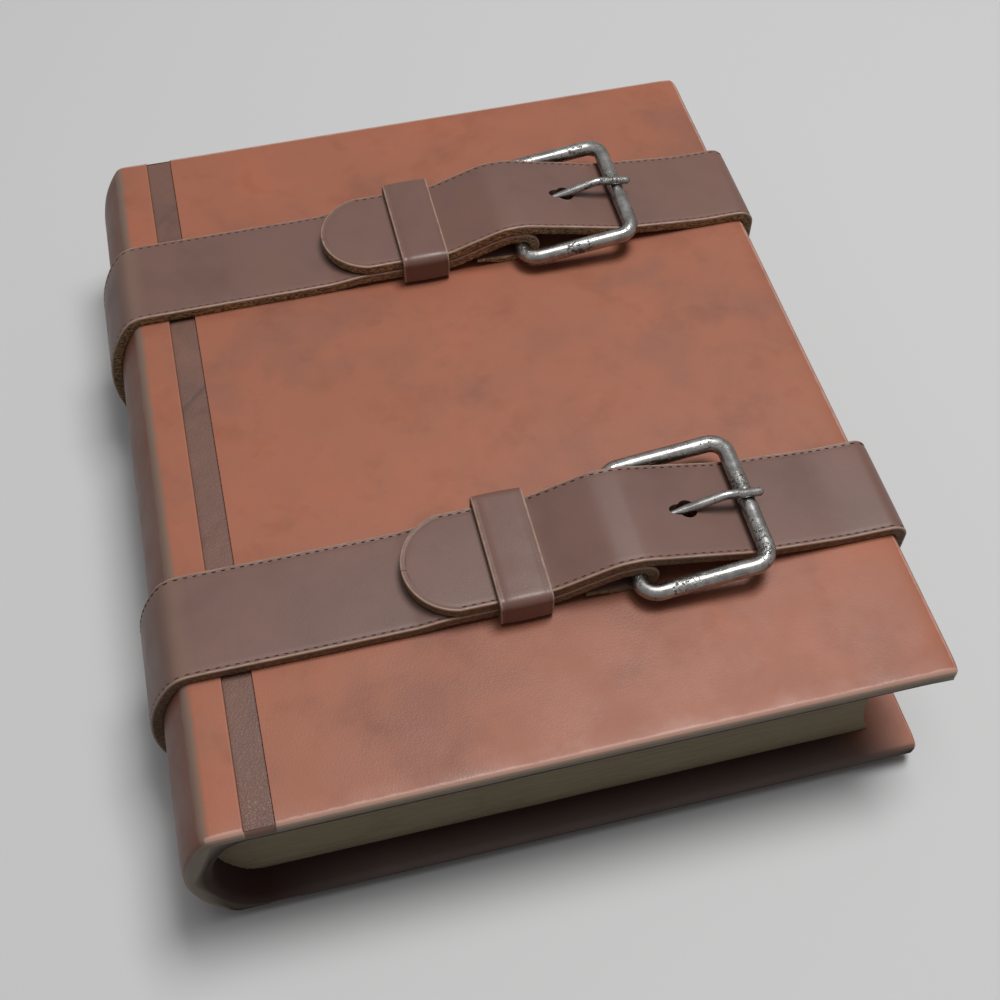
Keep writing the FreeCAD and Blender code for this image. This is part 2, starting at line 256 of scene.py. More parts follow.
# %% [markdown]
# The cover case
#
# Front board, spine and back board are one C of board under one skin of leather. It could be a box
# with bevels, but the rounded spine and its sunk joints need their own line. So the outline is
# worked out once, outside and inside, and repeated along the book. Near the tail and head the
# rings shrink, which rounds the ends and lets the leather fall away softly, because that soft edge
# is what catches the light on a real book.

# %% Outline of the case
SPINE_SLOPE = math.radians(37.0)
SPINE_SHOULDER = 4.0
SPINE_WALL = 8.2
SPINE_HOLLOW = 8.0
BOARD_EDGE = 2.0
INNER_EDGE = 1.4
HALF_THICK = BOOK_THICK / 2
SHOULDER_RUN = SPINE_SHOULDER * math.tan((math.pi / 2 - SPINE_SLOPE) / 2)
CROWN = (HALF_THICK / math.cos(SPINE_SLOPE) - SHOULDER_RUN) / math.tan(SPINE_SLOPE)
APEX_REACH = CASE_REACH + CROWN * (1 / math.cos(SPINE_SLOPE) - 1)
TURN_REACH = APEX_REACH - HALF_THICK * math.tan(SPINE_SLOPE)
SPINE_TURN = X_FORE - TURN_REACH


def case_outside():
    return [(X_FORE, Z_COVER, BOARD_EDGE), (SPINE_TURN, Z_COVER, SPINE_SHOULDER),
            (X_FORE - APEX_REACH, Z_MIDDLE, CROWN), (SPINE_TURN, Z_BACK, SPINE_SHOULDER),
            (X_FORE, Z_BACK, BOARD_EDGE)]


def case_inside(clearance=0.0):
    """The inner outline; with a clearance, the line that the pages' back follows."""
    wall = SPINE_WALL + clearance
    along = (BOARD - wall * math.sin(SPINE_SLOPE)) / math.cos(SPINE_SLOPE)
    shoulder = X_FORE - (TURN_REACH - wall * math.cos(SPINE_SLOPE) + along * math.sin(SPINE_SLOPE))
    apex = X_FORE - (APEX_REACH - wall / math.cos(SPINE_SLOPE))
    run = SPINE_HOLLOW * math.tan((math.pi / 2 - SPINE_SLOPE) / 2)
    half = HALF_THICK - BOARD
    radius = (half / math.cos(SPINE_SLOPE) - run) / math.tan(SPINE_SLOPE)
    return [(shoulder, Z_BACK + BOARD, SPINE_HOLLOW), (apex, Z_MIDDLE, radius),
            (shoulder, Z_COVER - BOARD, SPINE_HOLLOW)]


print("the board turns into the spine at x", round(SPINE_TURN, 2), "mm")

# %% Joints in the outline
JOINT_WIDTH = 7.5
JOINT_FROM_TURN = 9.4
JOINT_SINK = 1.0
JOINT_STRIP = 1.2
JOINT_SPINE_SIDE = SPINE_TURN + JOINT_FROM_TURN
JOINT_WALLS = (JOINT_SPINE_SIDE, JOINT_SPINE_SIDE + JOINT_WIDTH)
JOINT_LIP = 0.25
WALL_OFFSETS = (-1.6, -0.6, -0.14, 0.0, 0.14, 0.6, 1.6)
FLUSH = 1e-4
RUN_STEP, ARC_STEP = 3.0, 0.8


def on_face(place):
    """Whether a point of the outline is on the outer face of a board."""
    return min(abs(place.y - Z_COVER), abs(place.y - Z_BACK)) < FLUSH


def joint_share(x):
    """1 on the joint's floor, 0 on the board, with steep walls and a small lip."""
    low, high = JOINT_WALLS
    return max(0.0, min(1.0, (x - low) / JOINT_LIP + 0.5, (high - x) / JOINT_LIP + 0.5))


def case_ring():
    """The closed outline as (point, outward normal), with close points at the joints' walls."""
    corners = case_outside() + [(X_FORE, Z_BACK + BOARD, INNER_EDGE)]
    corners += case_inside() + [(X_FORE, Z_COVER - BOARD, INNER_EDGE)]
    close = [wall + offset for wall in JOINT_WALLS for offset in WALL_OFFSETS]
    low, high = min(close) - 0.4, max(close) + 0.4
    ring, done = [], set()
    for place, left in stations(corners, RUN_STEP, ARC_STEP, closed=True):
        front = abs(place.y - Z_COVER) < FLUSH
        if not (on_face(place) and low < place.x < high):
            ring.append((place, -left))
        elif front not in done:
            done.add(front)
            z, out = (Z_COVER, Vector((0, 1))) if front else (Z_BACK, Vector((0, -1)))
            ring += [(Vector((x, z)), out) for x in (reversed(close) if front else close)]
    return ring


case_line = case_ring()
print("points round the case:", len(case_line))

# %% Rounding of the ends
END_ROUND = 1.7
SOFT_EDGE = 5.5
SOFT_DROP = 0.55
RIM = 1.2
RIM_SINK = 0.4


def near(distance, reach):
    """1 at no distance, falling evenly to 0 at the reach."""
    return max(0.0, 1 - distance / reach)


def end_inset(from_end):
    """How far the outline has shrunk at a distance from the tail or head."""
    if from_end >= END_ROUND:
        return 0.0
    return END_ROUND - math.sqrt(END_ROUND ** 2 - (END_ROUND - from_end) ** 2)


def length_stations():
    """Places along the book, close together where the ends round over."""
    arc_pieces, close_until, close_step, wide_step = 8, 12, 0.9, 2.4
    found = [END_ROUND * (1 - math.cos(math.pi / 2 * k / arc_pieces)) for k in range(arc_pieces + 1)]
    found += [RIM - 0.05, RIM + 0.05]
    spot = END_ROUND + 0.6
    while spot < close_until:
        found.append(spot)
        spot += close_step
    pieces = int((HALF_LONG - spot) // wide_step)
    found += [spot + (HALF_LONG - spot) * k / pieces for k in range(pieces)]
    found = sorted(set(round(v, 4) for v in found))
    return [HALF_LONG - v for v in found] + [0.0] + [v - HALF_LONG for v in reversed(found)]


print("rings along the case:", len(length_stations()))

# %% How far each point of the case moves
EDGE_END = BOARD_EDGE + 0.4
INNER_SHARE = 0.72


def case_shift(place, out, y, within):
    """How far a point moves out: the ends are rounded, the edges soft, the faces a little wavy."""
    from_end, from_fore = HALF_LONG - abs(y), X_FORE - place.x
    past_edge = max(0.0, from_fore - EDGE_END)
    shrink = end_inset(from_end)
    if within:
        # The inner edge is rounded less at the fore-edge, where it must not meet the outer one
        shrink *= INNER_SHARE + 0.5 * min(1.0, past_edge / 6.0)
    else:
        shrink += SOFT_DROP * near(from_end, SOFT_EDGE) ** 2
        shrink += SOFT_DROP * near(from_fore, SOFT_EDGE) ** 2 * abs(out.y)
        # No more than the edge's own radius, or the corner would turn inside out
        shrink = min(shrink, 1.8 + 0.2 * past_edge)
    wave = 0.10 * waver(place.x, y, place.y, 34.0)
    return wave + 0.035 * waver(place.x, y, place.y, 7.0, 3.1) - shrink


print("first point's shift at the tail:", round(case_shift(*case_line[0], -HALF_LONG, False), 2), "mm")

# %% What the cover's finish needs to know
STRIPE_WIDE = 3.4
WORN_END = 2.2
LIP_WEAR = 0.5
DEEP_INSIDE = 24.0
LEDGE_REACH = 8.0
LEDGE_START, LEDGE_RUN = 10.0, 30.0


def case_marks(place, out, y, within, sunk):
    """Wear, painted shade and painted highlight of one point, as {attribute: number from 0 to 1}."""
    from_end, from_fore = HALF_LONG - abs(y), X_FORE - place.x
    face_gap = min(abs(place.y - Z_COVER), abs(place.y - Z_BACK))
    shoulder = math.hypot(place.x - SPINE_TURN + 0.4, face_gap - 0.4)
    stripe = near(shoulder, STRIPE_WIDE) if out.x < 0.05 else 0.0
    on_board = on_face(place) and from_end > RIM - 0.02
    lip, wall = (near(abs(place.x - x), LIP_WEAR) if on_board else 0.0 for x in JOINT_WALLS)
    deep = 1 - near(from_fore, DEEP_INSIDE)
    on_back = within and place.y < Z_BACK + BOARD + 0.1
    from_spine = min(1.0, max(0.0, (place.x - SPINE_TURN - LEDGE_START) / LEDGE_RUN))
    # spine: the rounded side of the spine, which gets a painted shade
    on_spine = place.x < SPINE_TURN + 2.0 and not within
    # The crests of the rounded edges get a pale tone: partly rubbed leather, partly a painted highlight
    end_ridge = math.exp(-((from_end - 1.0) / 0.9) ** 2)
    fore_ridge = 0.7 * math.exp(-((from_fore - 1.0) / 0.8) ** 2)
    # low is a painted shadow: near black on the back board's lower part, paler on its inner face, within 2
    # mm of the tail and head
    under = 1.0 if place.y < Z_BACK + BOARD * 0.8 else 0.6 if on_back else 0.0
    # inside is painted shade: the inner faces darken away from the fore-edge. ledge is a paler grey-brown
    # over that painted shade near the tail and head, where light reaches in.
    return {"wear": max(stripe, 0.75 * near(from_end, WORN_END)),
            "end_face": 1.0 if from_end < END_ROUND * 0.3 else 0.0,
            "cut": wall,
            "inside": deep if within else 0.0,
            "ledge": near(from_end, LEDGE_REACH) * deep * from_spine if on_back else 0.0,
            "spine": min(1.0, max(0.0, (face_gap - 0.1) / 1.8)) if on_spine else 0.0,
            "joint": 1.0 if sunk > 0.5 else 0.0,
            "ridge": max(end_ridge, fore_ridge) if place.x > SPINE_TURN and not within else 0.0,
            "low": under * near(from_end, 2.0),
            "lip": lip}


print("marks:", ", ".join(case_marks(*case_line[0], 0.0, False, 0.0)))

# %% Case mesh
def make_case():
    rings, marks = [], {}
    # From a point between the boards the inner faces look towards it, and the outer ones away
    between = Vector((X_FORE * 0.2, Z_MIDDLE))
    for y in length_stations():
        loop = []
        depth = JOINT_SINK + JOINT_STRIP if HALF_LONG - abs(y) > RIM else RIM_SINK
        for place, out in case_line:
            within = out.dot(between - place) > 0
            sunk = joint_share(place.x) if on_face(place) else 0.0
            move = case_shift(place, out, y, within) - depth * sunk
            loop.append((place.x + out.x * move, y, place.y + out.y * move))
            for name, value in case_marks(place, out, y, within, sunk).items():
                marks.setdefault(name, []).append(value)
        rings.append(loop)
    points, faces = skin(rings)
    return new_piece("cover_leather", points, faces, marks, 50)


cover = make_case()
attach(cover, "root")
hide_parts("cover_case")
print("cover faces:", len(cover.data.polygons))

# %% [markdown]
# The joint strips
#
# The leather in each joint is a separate darker strip, glued into a sunk channel. A picture of
# creases on a flat strip would look printed. So it is a shallow bed of points that ripples a
# little and has a few diagonal creases, as leather does where a cover has been opened for years.
# The creases are also darkened with painted shade.

# %% Face of a joint strip
STRIP_SIDE_GAP = 0.07
STRIP_LOW = JOINT_WALLS[0] + STRIP_SIDE_GAP
STRIP_HIGH = JOINT_WALLS[1] - STRIP_SIDE_GAP
CREASES = [(12.4, 1.0), (88.0, 0.45), (-34.0, 0.3)]


def strip_face(x, y, columns_in):
    """Height of the strip from the board's face, and how much painted shade darkens its creases."""
    height = 0.08 * waver(x, y, 0, 9.0, 1.7) + 0.03 * waver(x, y, 0, 2.4, 5.0) - JOINT_SINK
    dark = 0.0
    for start, size in CREASES:
        fold = (y - start) - (x - STRIP_LOW)
        height -= 0.08 * size * math.exp(-(fold / 1.2) ** 2)
        dark = max(dark, size * math.exp(-(fold / 1.1) ** 2))
    return height - 0.05 * near(columns_in, 1.2), dark


print("joint strips are", round(STRIP_HIGH - STRIP_LOW, 2), "mm wide")

# %% Joint strips
STRIP_COLUMNS = 15
STRIP_ROWS = 330
STRIP_END_GAP = 0.12
STRIP_BED = 0.1
GRIT_REACH = 26.0


def make_joint_strip(name, node, z_face, up):
    half = HALF_LONG - RIM - STRIP_END_GAP
    across = [STRIP_LOW + (STRIP_HIGH - STRIP_LOW) * c / STRIP_COLUMNS for c in range(STRIP_COLUMNS + 1)]
    back = [(x, STRIP_BED - JOINT_SINK - JOINT_STRIP, 0.0) for x in reversed(across)]
    rings, marks = [], {"grit": [], "crease": []}
    for row in range(STRIP_ROWS + 1):
        y = -half + 2 * half * row / STRIP_ROWS
        face = [(x, *strip_face(x, y, min(c, STRIP_COLUMNS - c))) for c, x in enumerate(across)]
        rings.append([(x, y, z_face + z * up) for x, z, _ in face + back])
        marks["grit"] += [near(half + y, GRIT_REACH)] * (len(face) + len(back))
        marks["crease"] += [dark for _, _, dark in face + back]
    points, faces = skin(rings)
    piece = new_piece(name, points, faces, marks, 50)
    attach(piece, "root")
    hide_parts(node)
    return piece


front_joint = make_joint_strip("front_joint_leather", "front_joint_strip", Z_COVER, 1)
back_joint = make_joint_strip("back_joint_leather", "back_joint_strip", Z_BACK, -1)
print("joint strip faces:", len(front_joint.data.polygons))

# %% [markdown]
# The pages
#
# Old pages are not a smooth block: gatherings of leaves stand a hair proud of their neighbours. A
# bump in the paper's finish could hint at that, but it would vanish at the block's outline. So the
# block is built as many thin layers, each a little larger or smaller than the next. Its back is
# round and its fore-edge hollow, as in any book whose spine was rounded.

# %% Rounded back of the pages
TAIL_SQUARE = 8.5
FORE_SQUARE = 12.0
BACK_GAP = 0.2
BACK_STARTS = -60.0
PAGE_FORE = X_FORE - FORE_SQUARE


def back_of_pages():
    """Stations of the rounded back, as (x, z), from the lowest to the highest."""
    corners = [(PAGE_FORE, Z_BACK + BOARD, 0.0)] + case_inside(BACK_GAP)
    corners.append((PAGE_FORE, Z_COVER - BOARD, 0.0))
    return [place for place, _ in stations(corners, 2.0, 0.5) if place.x < BACK_STARTS]


def x_back_at(z, line):
    """The back's place at one height, by looking between two stations."""
    for a, b in zip(line, line[1:]):
        if a.y <= z <= b.y and b.y - a.y > TINY:
            return a.x + (b.x - a.x) * (z - a.y) / (b.y - a.y)
    return line[0].x


print("stations of the pages' back:", len(back_of_pages()))

# %% Outline of one layer of leaves
FORE_HOLLOW = 4.2
HALF_BLOCK = HALF_THICK - BOARD
HOLLOW_RADIUS = (HALF_BLOCK ** 2 + FORE_HOLLOW ** 2) / (2 * FORE_HOLLOW)
SIDE_PIECES = 44


def layer_outline(z, layer, step, x_back):
    """Four slightly wavy sides at one height; step is how far the layer stands proud."""
    half = HALF_LONG - TAIL_SQUARE
    y_end = half + step
    hollow = math.sqrt(HOLLOW_RADIUS ** 2 - (z - Z_MIDDLE) ** 2) - (HOLLOW_RADIUS - FORE_HOLLOW)
    x_front = PAGE_FORE - hollow + step
    shares = [k / SIDE_PIECES for k in range(SIDE_PIECES)]
    spots = []
    for start, stop, end, offset in ((x_back, x_front, -1, 0), (x_front, x_back, 1, 50)):
        for share in shares:
            x = start + (stop - start) * share
            spots.append((x, end * y_end + 0.07 * waver(x, offset, layer * 5.0, 17.0, 6.0)))
        spots += [(stop, end * y_end * (1 - 2 * share)) for share in shares]
    loop = []
    for x, y in spots:
        sway = 0.06 * waver(x, y, layer * 7.0, 21.0, 2.0) if abs(y) < half - 0.5 else 0.0
        loop.append((x + sway, y, z))
    return loop


print("the fore-edge is hollowed with a radius of", round(HOLLOW_RADIUS, 1), "mm")

# %% Page block
LAYERS = 96
LAYER_STEP = 0.10
LAYER_SEAM = 0.002


def make_pages():
    low = Z_BACK + BOARD + 0.01
    high = Z_COVER - BOARD - 0.01
    line = back_of_pages()
    rings, leaf = [], []
    for layer in range(LAYERS):
        step = LAYER_STEP * (noise.noise(Vector((layer * 0.73, 4.2, 0.5)))
                             + noise.noise(Vector((layer * 3.1, 1.2, 9.5))))
        for share in (layer / LAYERS + LAYER_SEAM, (layer + 1) / LAYERS - LAYER_SEAM):
            z = low + (high - low) * share
            loop = layer_outline(z, layer, step, x_back_at(z, line) + 0.1 - step * 0.5)
            rings.append(loop)
            leaf += [(layer * 0.618) % 1.0] * len(loop)
    points, faces = skin(rings)
    return new_piece("pages", points, faces, {"leaf": leaf}, 30)


pages = make_pages()
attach(pages, "root")
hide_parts("page_block")
print("page faces:", len(pages.data.polygons))

# %% [markdown]
# The route of a strap
#
# Each strap starts as a short pared end under the buckle, folds back over the buckle's bar, runs
# through the keeper to the spine, under the book, up the fore-edge, under the free bar, over its
# own fold and back through the keeper to its tip. It could be several bands laid end to end, but a
# strap is one piece of leather, and one chain of corners keeps its grain and stitches unbroken.
# The sizes are those of the solid, apart from the slope down to the keeper, which is 2 mm longer.

# %% Sizes of the straps, buckles and keepers
WIRE = 4.7
BAR_REACH = 72.0
FRAME_LENGTH = 33.95
FLAP_LENGTH = 14.0
FLAP_THICK = 2.0
FLAP_LIFT = 0.9
FOLD_FLAT = 5.0
SLOPE_RUN = 21.6
LEVEL_RUN = 29.0
DROP_RUN = 7.0
KEEPER_LEATHER = 1.6
KEEPER_UNDER = 0.9
KEEPER_GAP = 0.15
LAYER_GAP = 0.2
LIFT_START = 14.6
LIFT_SLOPE = math.radians(6.0)
CLIMB_PAST = 3.55
TIP_RUN = 37.4
TIP_BOW = 0.81 * STRAP_WIDTH / 2
WIRE_R = WIRE / 2
FOLD_INNER = WIRE_R + 0.08
FOLD_MID = FOLD_INNER + STRAP_THICK / 2
FOLD_OUTER = FOLD_INNER + STRAP_THICK
BAR_X = X_FORE - BAR_REACH
BAR_Z = Z_COVER + STRAP_GAP + FLAP_THICK + FOLD_INNER
STRAP_MID = STRAP_GAP + STRAP_THICK / 2
SLOPE_END = BAR_REACH + SLOPE_RUN
TIP_BASE_REACH = SLOPE_END + TIP_RUN - TIP_BOW
KEEPER_LEVEL = Z_COVER + 2 * KEEPER_GAP + KEEPER_UNDER + STRAP_THICK / 2
print("the bar in the fold is at x", round(BAR_X, 2), "and z", round(BAR_Z, 2), "mm")

# %% Route of a strap
def lower_layer():
    """From the pared end, round the bar in the fold and through the keeper to the cover."""
    z_flap = BAR_Z - FOLD_MID
    z_over = BAR_Z + FOLD_MID
    return [(BAR_X - FLAP_LENGTH, z_flap + FLAP_LIFT, 0.0), (BAR_X - WIRE_R, z_flap, 10.0),
            (BAR_X + FOLD_MID, z_flap, FOLD_MID), (BAR_X + FOLD_MID, z_over, FOLD_MID),
            (BAR_X - FOLD_FLAT, z_over, 8.0), (X_FORE - SLOPE_END, KEEPER_LEVEL, 10.0),
            (X_FORE - SLOPE_END - LEVEL_RUN, KEEPER_LEVEL, 10.0),
            (X_FORE - SLOPE_END - LEVEL_RUN - DROP_RUN, Z_COVER + STRAP_MID, 10.0)]


def round_the_book():
    """Round the spine, under the book and up the fore-edge, half a strap off the cover."""
    loop = [(0.0, Z_COVER, 0.0)] + case_outside()[1:] + [case_outside()[0], (0.0, Z_COVER, 0.0)]
    return move_left(loop, -STRAP_MID)[1:-1]


def climb():
    """Up under the free bar, and over the strap's own fold."""
    flat = Z_COVER + STRAP_MID
    climb_reach = BAR_REACH - FRAME_LENGTH + CLIMB_PAST
    z_climb = flat + (climb_reach - LIFT_START) * math.tan(LIFT_SLOPE)
    crest = FOLD_OUTER + LAYER_GAP + STRAP_THICK / 2
    along = X_FORE - climb_reach - BAR_X
    above = z_climb - BAR_Z
    rise = math.pi / 2 - math.atan2(above, along) - math.acos(crest / math.hypot(along, above))
    return [(X_FORE - LIFT_START, flat, 60.0), (X_FORE - climb_reach, z_climb, 22.0),
            (BAR_X + crest * math.tan(rise / 2), BAR_Z + crest, crest)]


def upper_layer():
    """Down to the keeper again on top of the lower layer, as far as the tip's base."""
    lower = lower_layer()
    end = (X_FORE - TIP_BASE_REACH, KEEPER_LEVEL, 0.0)
    return move_left([lower[3], lower[4], lower[5], end], -(STRAP_THICK + LAYER_GAP))[1:]


# %% Ease the bends and measure the strap
EASE_REACH = 1.5
EASE_SPAN = 7
TIGHT_TURN = math.cos(math.radians(8.6))


def soften(route, reach):
    """Ease the bends of a route, as stiff leather does; tight bends are left alone."""
    eased = []
    for i, (place, left) in enumerate(route):
        here, total, turned = Vector((0, 0)), 0.0, Vector((0, 0))
        sharpest = 1.0
        for j in range(max(0, i - EASE_SPAN), min(len(route), i + EASE_SPAN + 1)):
            other, other_left = route[j]
            away = (other - place).length
            weight = math.exp(-(away / reach) ** 2 / 2)
            here += other * weight
            turned += other_left * weight
            total += weight
            if j and away < 3 * reach:
                sharpest = min(sharpest, other_left.dot(route[j - 1][1]))
        tight = sharpest < TIGHT_TURN or i in (0, len(route) - 1)
        eased.append((place, left) if tight else (here / total, turned.normalized()))
    return eased


strap_corners = lower_layer() + round_the_book() + climb() + upper_layer()
strap_route = soften(stations(strap_corners, 1.3, 0.75), EASE_REACH)
route_length = [0.0]
for (a, _), (b, _) in zip(strap_route, strap_route[1:]):
    route_length.append(route_length[-1] + (b - a).length)
print("strap length to the tip's base:", round(route_length[-1], 1), "mm")

# %% [markdown]
# The strap itself
#
# A strap is a thick band of leather with bevelled upper edges, a crease beside each and cut sides.
# A flat strip with thickness added would have none of these, so every ring here is the strap's
# real section. The rounded tip is made by swinging the last stations round a centre, so that the
# bevel keeps its width all the way round the tip.

# %% Section of a strap
BEVEL = 0.42
CREASE = 1.5


def strap_section():
    """One half of the section from the middle of the face round to the middle of the back.
    Each entry: share of the width inside the crease or None, inset from the edge, height."""
    face = STRAP_THICK / 2
    half = [(0.0, CREASE, face), (0.34, CREASE, face), (0.67, CREASE, face), (0.93, CREASE, face - 0.03),
            (None, CREASE, face - 0.05), (None, 1.15, face - 0.12), (None, 0.8, face - 0.03)]
    for k in range(5):
        angle = math.radians(90 * k / 4)
        half.append((None, BEVEL * (1 - math.sin(angle)), face - BEVEL * 0.85 * (1 - math.cos(angle))))
    half += [(None, 0.0, face - 0.9), (None, 0.0, face - 1.5), (None, 0.0, face - 2.1),
             (None, 0.0, -face + 0.35), (None, 0.12, -face + 0.1), (None, 0.4, -face),
             (0.9, CREASE, -face), (0.45, CREASE, -face), (0.0, CREASE, -face)]
    return half


print("points in half a section:", len(strap_section()))

# %% Places on a strap
TIP_RADIUS = ((STRAP_WIDTH / 2) ** 2 + TIP_BOW ** 2) / (2 * TIP_BOW)
TIP_RINGS = 26
TIP_END_ANGLE = 0.004
PARED_EDGE = 0.5
PARED_RUN = 7.0


def tip_angles():
    """Angles from the tip's centre line, closer together towards its end."""
    widest = math.asin(STRAP_WIDTH / 2 / TIP_RADIUS)
    return [widest * (1 - (k / TIP_RINGS) ** 0.8) for k in range(1, TIP_RINGS)] + [TIP_END_ANGLE]


def across_and_along(share, inset, angle):
    """A section point's reach across and along the strap; only the tip has an angle."""
    if angle is None:
        reach, along = STRAP_WIDTH / 2 - inset, 0.0
    else:
        reach = (TIP_RADIUS - inset) * math.sin(angle)
        along = (TIP_RADIUS - inset) * math.cos(angle) - (TIP_RADIUS - TIP_BOW)
    return (reach if share is None else reach * share), along


def pared(height, run):
    """The end that returns under the buckle is thinned from its grain side."""
    if run >= FLAP_LENGTH + 1.0 or height <= 0:
        return height
    taper = (FLAP_THICK - PARED_EDGE) * near(run, PARED_RUN)
    return min(height, FLAP_THICK - STRAP_THICK / 2 - taper)


def slack(run, seed):
    """How far a strap wanders sideways along its run."""
    return 0.11 * waver(run * 0.35, 0, 0, 9.0, seed)


def strap_point(station, lateral, height, y_middle, along=0.0):
    """A point of the strap; height is towards its grain side, which is the route's right."""
    place, left = station
    way = Vector((left.y, -left.x))
    spot = place + way * along - left * height
    return (spot.x, y_middle + lateral, spot.y)


print("radius of the rounded tip:", round(TIP_RADIUS, 2), "mm")

# %% Strap mesh
STRAP_FIBRE = {"tail": 0.45, "head": 1.0}
STRAP_SEED = {"tail": 8.1, "head": 2.3}


def make_strap(place, y_middle):
    fibre, seed = STRAP_FIBRE[place], STRAP_SEED[place]
    section = strap_section()
    around = [(1, entry) for entry in section] + [(-1, entry) for entry in reversed(section[1:-1])]
    turn = Vector((SPINE_TURN, Z_COVER + STRAP_MID))
    plan = [(station, None, run) for station, run in zip(strap_route, route_length)]
    plan += [(strap_route[-1], angle, route_length[-1]) for angle in tip_angles()]
    rings, marks = [], {"side": [], "edge": [], "bend": []}
    for station, angle, run in plan:
        loop = []
        for side, (share, inset, height) in around:
            reach, along = across_and_along(share, inset, angle)
            lift = pared(height, run)
            x, y, z = strap_point(station, side * reach, lift, y_middle, along)
            edge = share is None
            rough = fibre * waver(x * 1.3, y, z * 1.3, 0.9, seed) if edge and inset < 0.2 else 0.0
            if run < FLAP_LENGTH + 8.0:
                z = max(z, Z_COVER + STRAP_GAP)
            loop.append((x, y + side * rough * 0.14 + slack(run, seed), z))
            cut_side = edge and inset < 0.16 and lift < STRAP_THICK / 2 - 0.5
            marks["side"].append(1.0 if cut_side else 0.0)
            # edge: the bevel's pale band, partly worn leather and partly a painted highlight
            marks["edge"].append(near(inset, 0.85) if edge and lift > 0.9 else 0.0)
            # bend: where the strap turns over the spine, for a painted highlight
            marks["bend"].append(near((station[0] - turn).length, 4.0))
        rings.append(loop)
    points, faces = skin(rings)
    return new_piece(place + "_strap_leather", points, faces, marks, 42)


straps = {place: make_strap(place, y_middle) for place, y_middle in STRAP_PLACES.items()}
print("strap faces:", len(straps["tail"].data.polygons))

# %% [markdown]
# Holes in the strap
#
# The prong comes up through a punched hole, and its ring sits in a slot in the fold. A dark spot
# could stand for the hole, but the prong leans through it and light falls in. So both are cut with
# plain cutters and a Boolean, which is applied at once, so that the finished piece is one mesh.

# %% Sizes of the prong, its seat and its hole
PRONG_WIRE = 2.5
PRONG_R = PRONG_WIRE / 2
KNEE_BEFORE = 6.25
KNEE_ABOVE = 3.9
SEAT_DEPTH = 0.9
SEAT_GAP = 0.15
SIDE_ROOM = 0.45
REST_GAP = 0.3


def free_bar():
    """The free bar's centre from the bar in the fold: along X, and up."""
    free_reach = BAR_REACH - FRAME_LENGTH
    z_strap = Z_COVER + STRAP_MID + (free_reach - LIFT_START) * math.tan(LIFT_SLOPE)
    top = z_strap + STRAP_THICK / 2 / math.cos(LIFT_SLOPE)
    up = top + REST_GAP + WIRE_R - BAR_Z
    return math.sqrt(FRAME_LENGTH ** 2 - up ** 2), up


FREE_ALONG, FREE_UP = free_bar()
KNEE = Vector((FREE_ALONG - KNEE_BEFORE, 0, FREE_UP + KNEE_ABOVE))
SHANK = math.atan2(KNEE.z, KNEE.x)
print("the prong rises at", round(math.degrees(SHANK), 1), "degrees")

# %% Cutters
def cutter(start, way, radius, length, sides=48):
    """A round cutter from a start along a direction, in millimetres."""
    mesh = bpy.data.meshes.new("cutter")
    work = bmesh.new()
    bmesh.ops.create_cone(work, cap_ends=True, segments=sides, radius1=radius * MM,
                          radius2=radius * MM, depth=length * MM)
    turn = way.to_track_quat("Z", "Y").to_matrix().to_4x4()
    middle = (start + way.normalized() * length / 2) * MM
    bmesh.ops.transform(work, matrix=Matrix.Translation(middle) @ turn, verts=work.verts)
    work.to_mesh(mesh)
    work.free()
    tool = bpy.data.objects.new("cutter", mesh)
    bpy.context.scene.collection.objects.link(tool)
    return tool


def cut(piece, tool):
    """Take the cutter's shape out of a piece for good."""
    boolean = piece.modifiers.new("cut", "BOOLEAN")
    boolean.operation = "DIFFERENCE"
    boolean.solver = "EXACT"
    boolean.object = tool
    bpy.context.view_layer.update()
    result = piece.evaluated_get(bpy.context.evaluated_depsgraph_get())
    mesh = bpy.data.meshes.new_from_object(result)
    piece.modifiers.clear()
    piece.data = mesh
    bpy.data.objects.remove(tool)


# %% Cut the hole, the prong's way and the slot
HOLE = 5.6
EYE_SLOT = 3.3
SWING = math.radians(4.0)
SWING_CUTS = 4


def punch_strap(piece, y_middle):
    """The hole is square to the strap where the prong meets it; the way is cut for all its lift."""
    foot, crest = climb()[1:]
    down = math.atan2(crest[1] - foot[1], foot[0] - crest[0])
    along, above = foot[0] - BAR_X, foot[1] - BAR_Z
    meet = (above + along * math.tan(down)) / (math.tan(SHANK) + math.tan(down))
    up = Vector((math.sin(down), 0, math.cos(down)))
    right = Vector((math.cos(down), 0, -math.sin(down)))
    half_way = STRAP_THICK / 2 / math.tan(SHANK + down)
    centre = Vector((BAR_X + meet, y_middle, BAR_Z + meet * math.tan(SHANK)))
    start = centre + right * half_way - up * STRAP_THICK
    cut(piece, cutter(start, up, HOLE / 2, 2 * STRAP_THICK))
    bar = Vector((BAR_X, y_middle, BAR_Z))
    for step in range(SWING_CUTS):
        angle = SHANK + SWING * step / (SWING_CUTS - 1)
        way = Vector((math.cos(angle), 0, math.sin(angle)))
        start = bar + way * (FOLD_OUTER + STRAP_THICK / 2)
        cut(piece, cutter(start, way, PRONG_R + SIDE_ROOM, FRAME_LENGTH - 2 * FOLD_OUTER, 32))
    slot = bar - Vector((0, EYE_SLOT / 2, 0))
    cut(piece, cutter(slot, Vector((0, 1, 0)), FOLD_OUTER + LAYER_GAP / 2, EYE_SLOT))


for place, y_middle in STRAP_PLACES.items():
    punch_strap(straps[place], y_middle)
    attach(straps[place], "root")
    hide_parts(place + "_strap")
print("strap faces after cutting:", len(straps["tail"].data.polygons))

# %% [markdown]
# Stitches
#
# Waxed dark thread runs along both edges, beside the crease. Dashes in the finish would lie flat,
# so every stitch is a small rounded bar that sinks into the leather at its ends. They are separate
# from the strap, so that thread and leather can have their own finish.

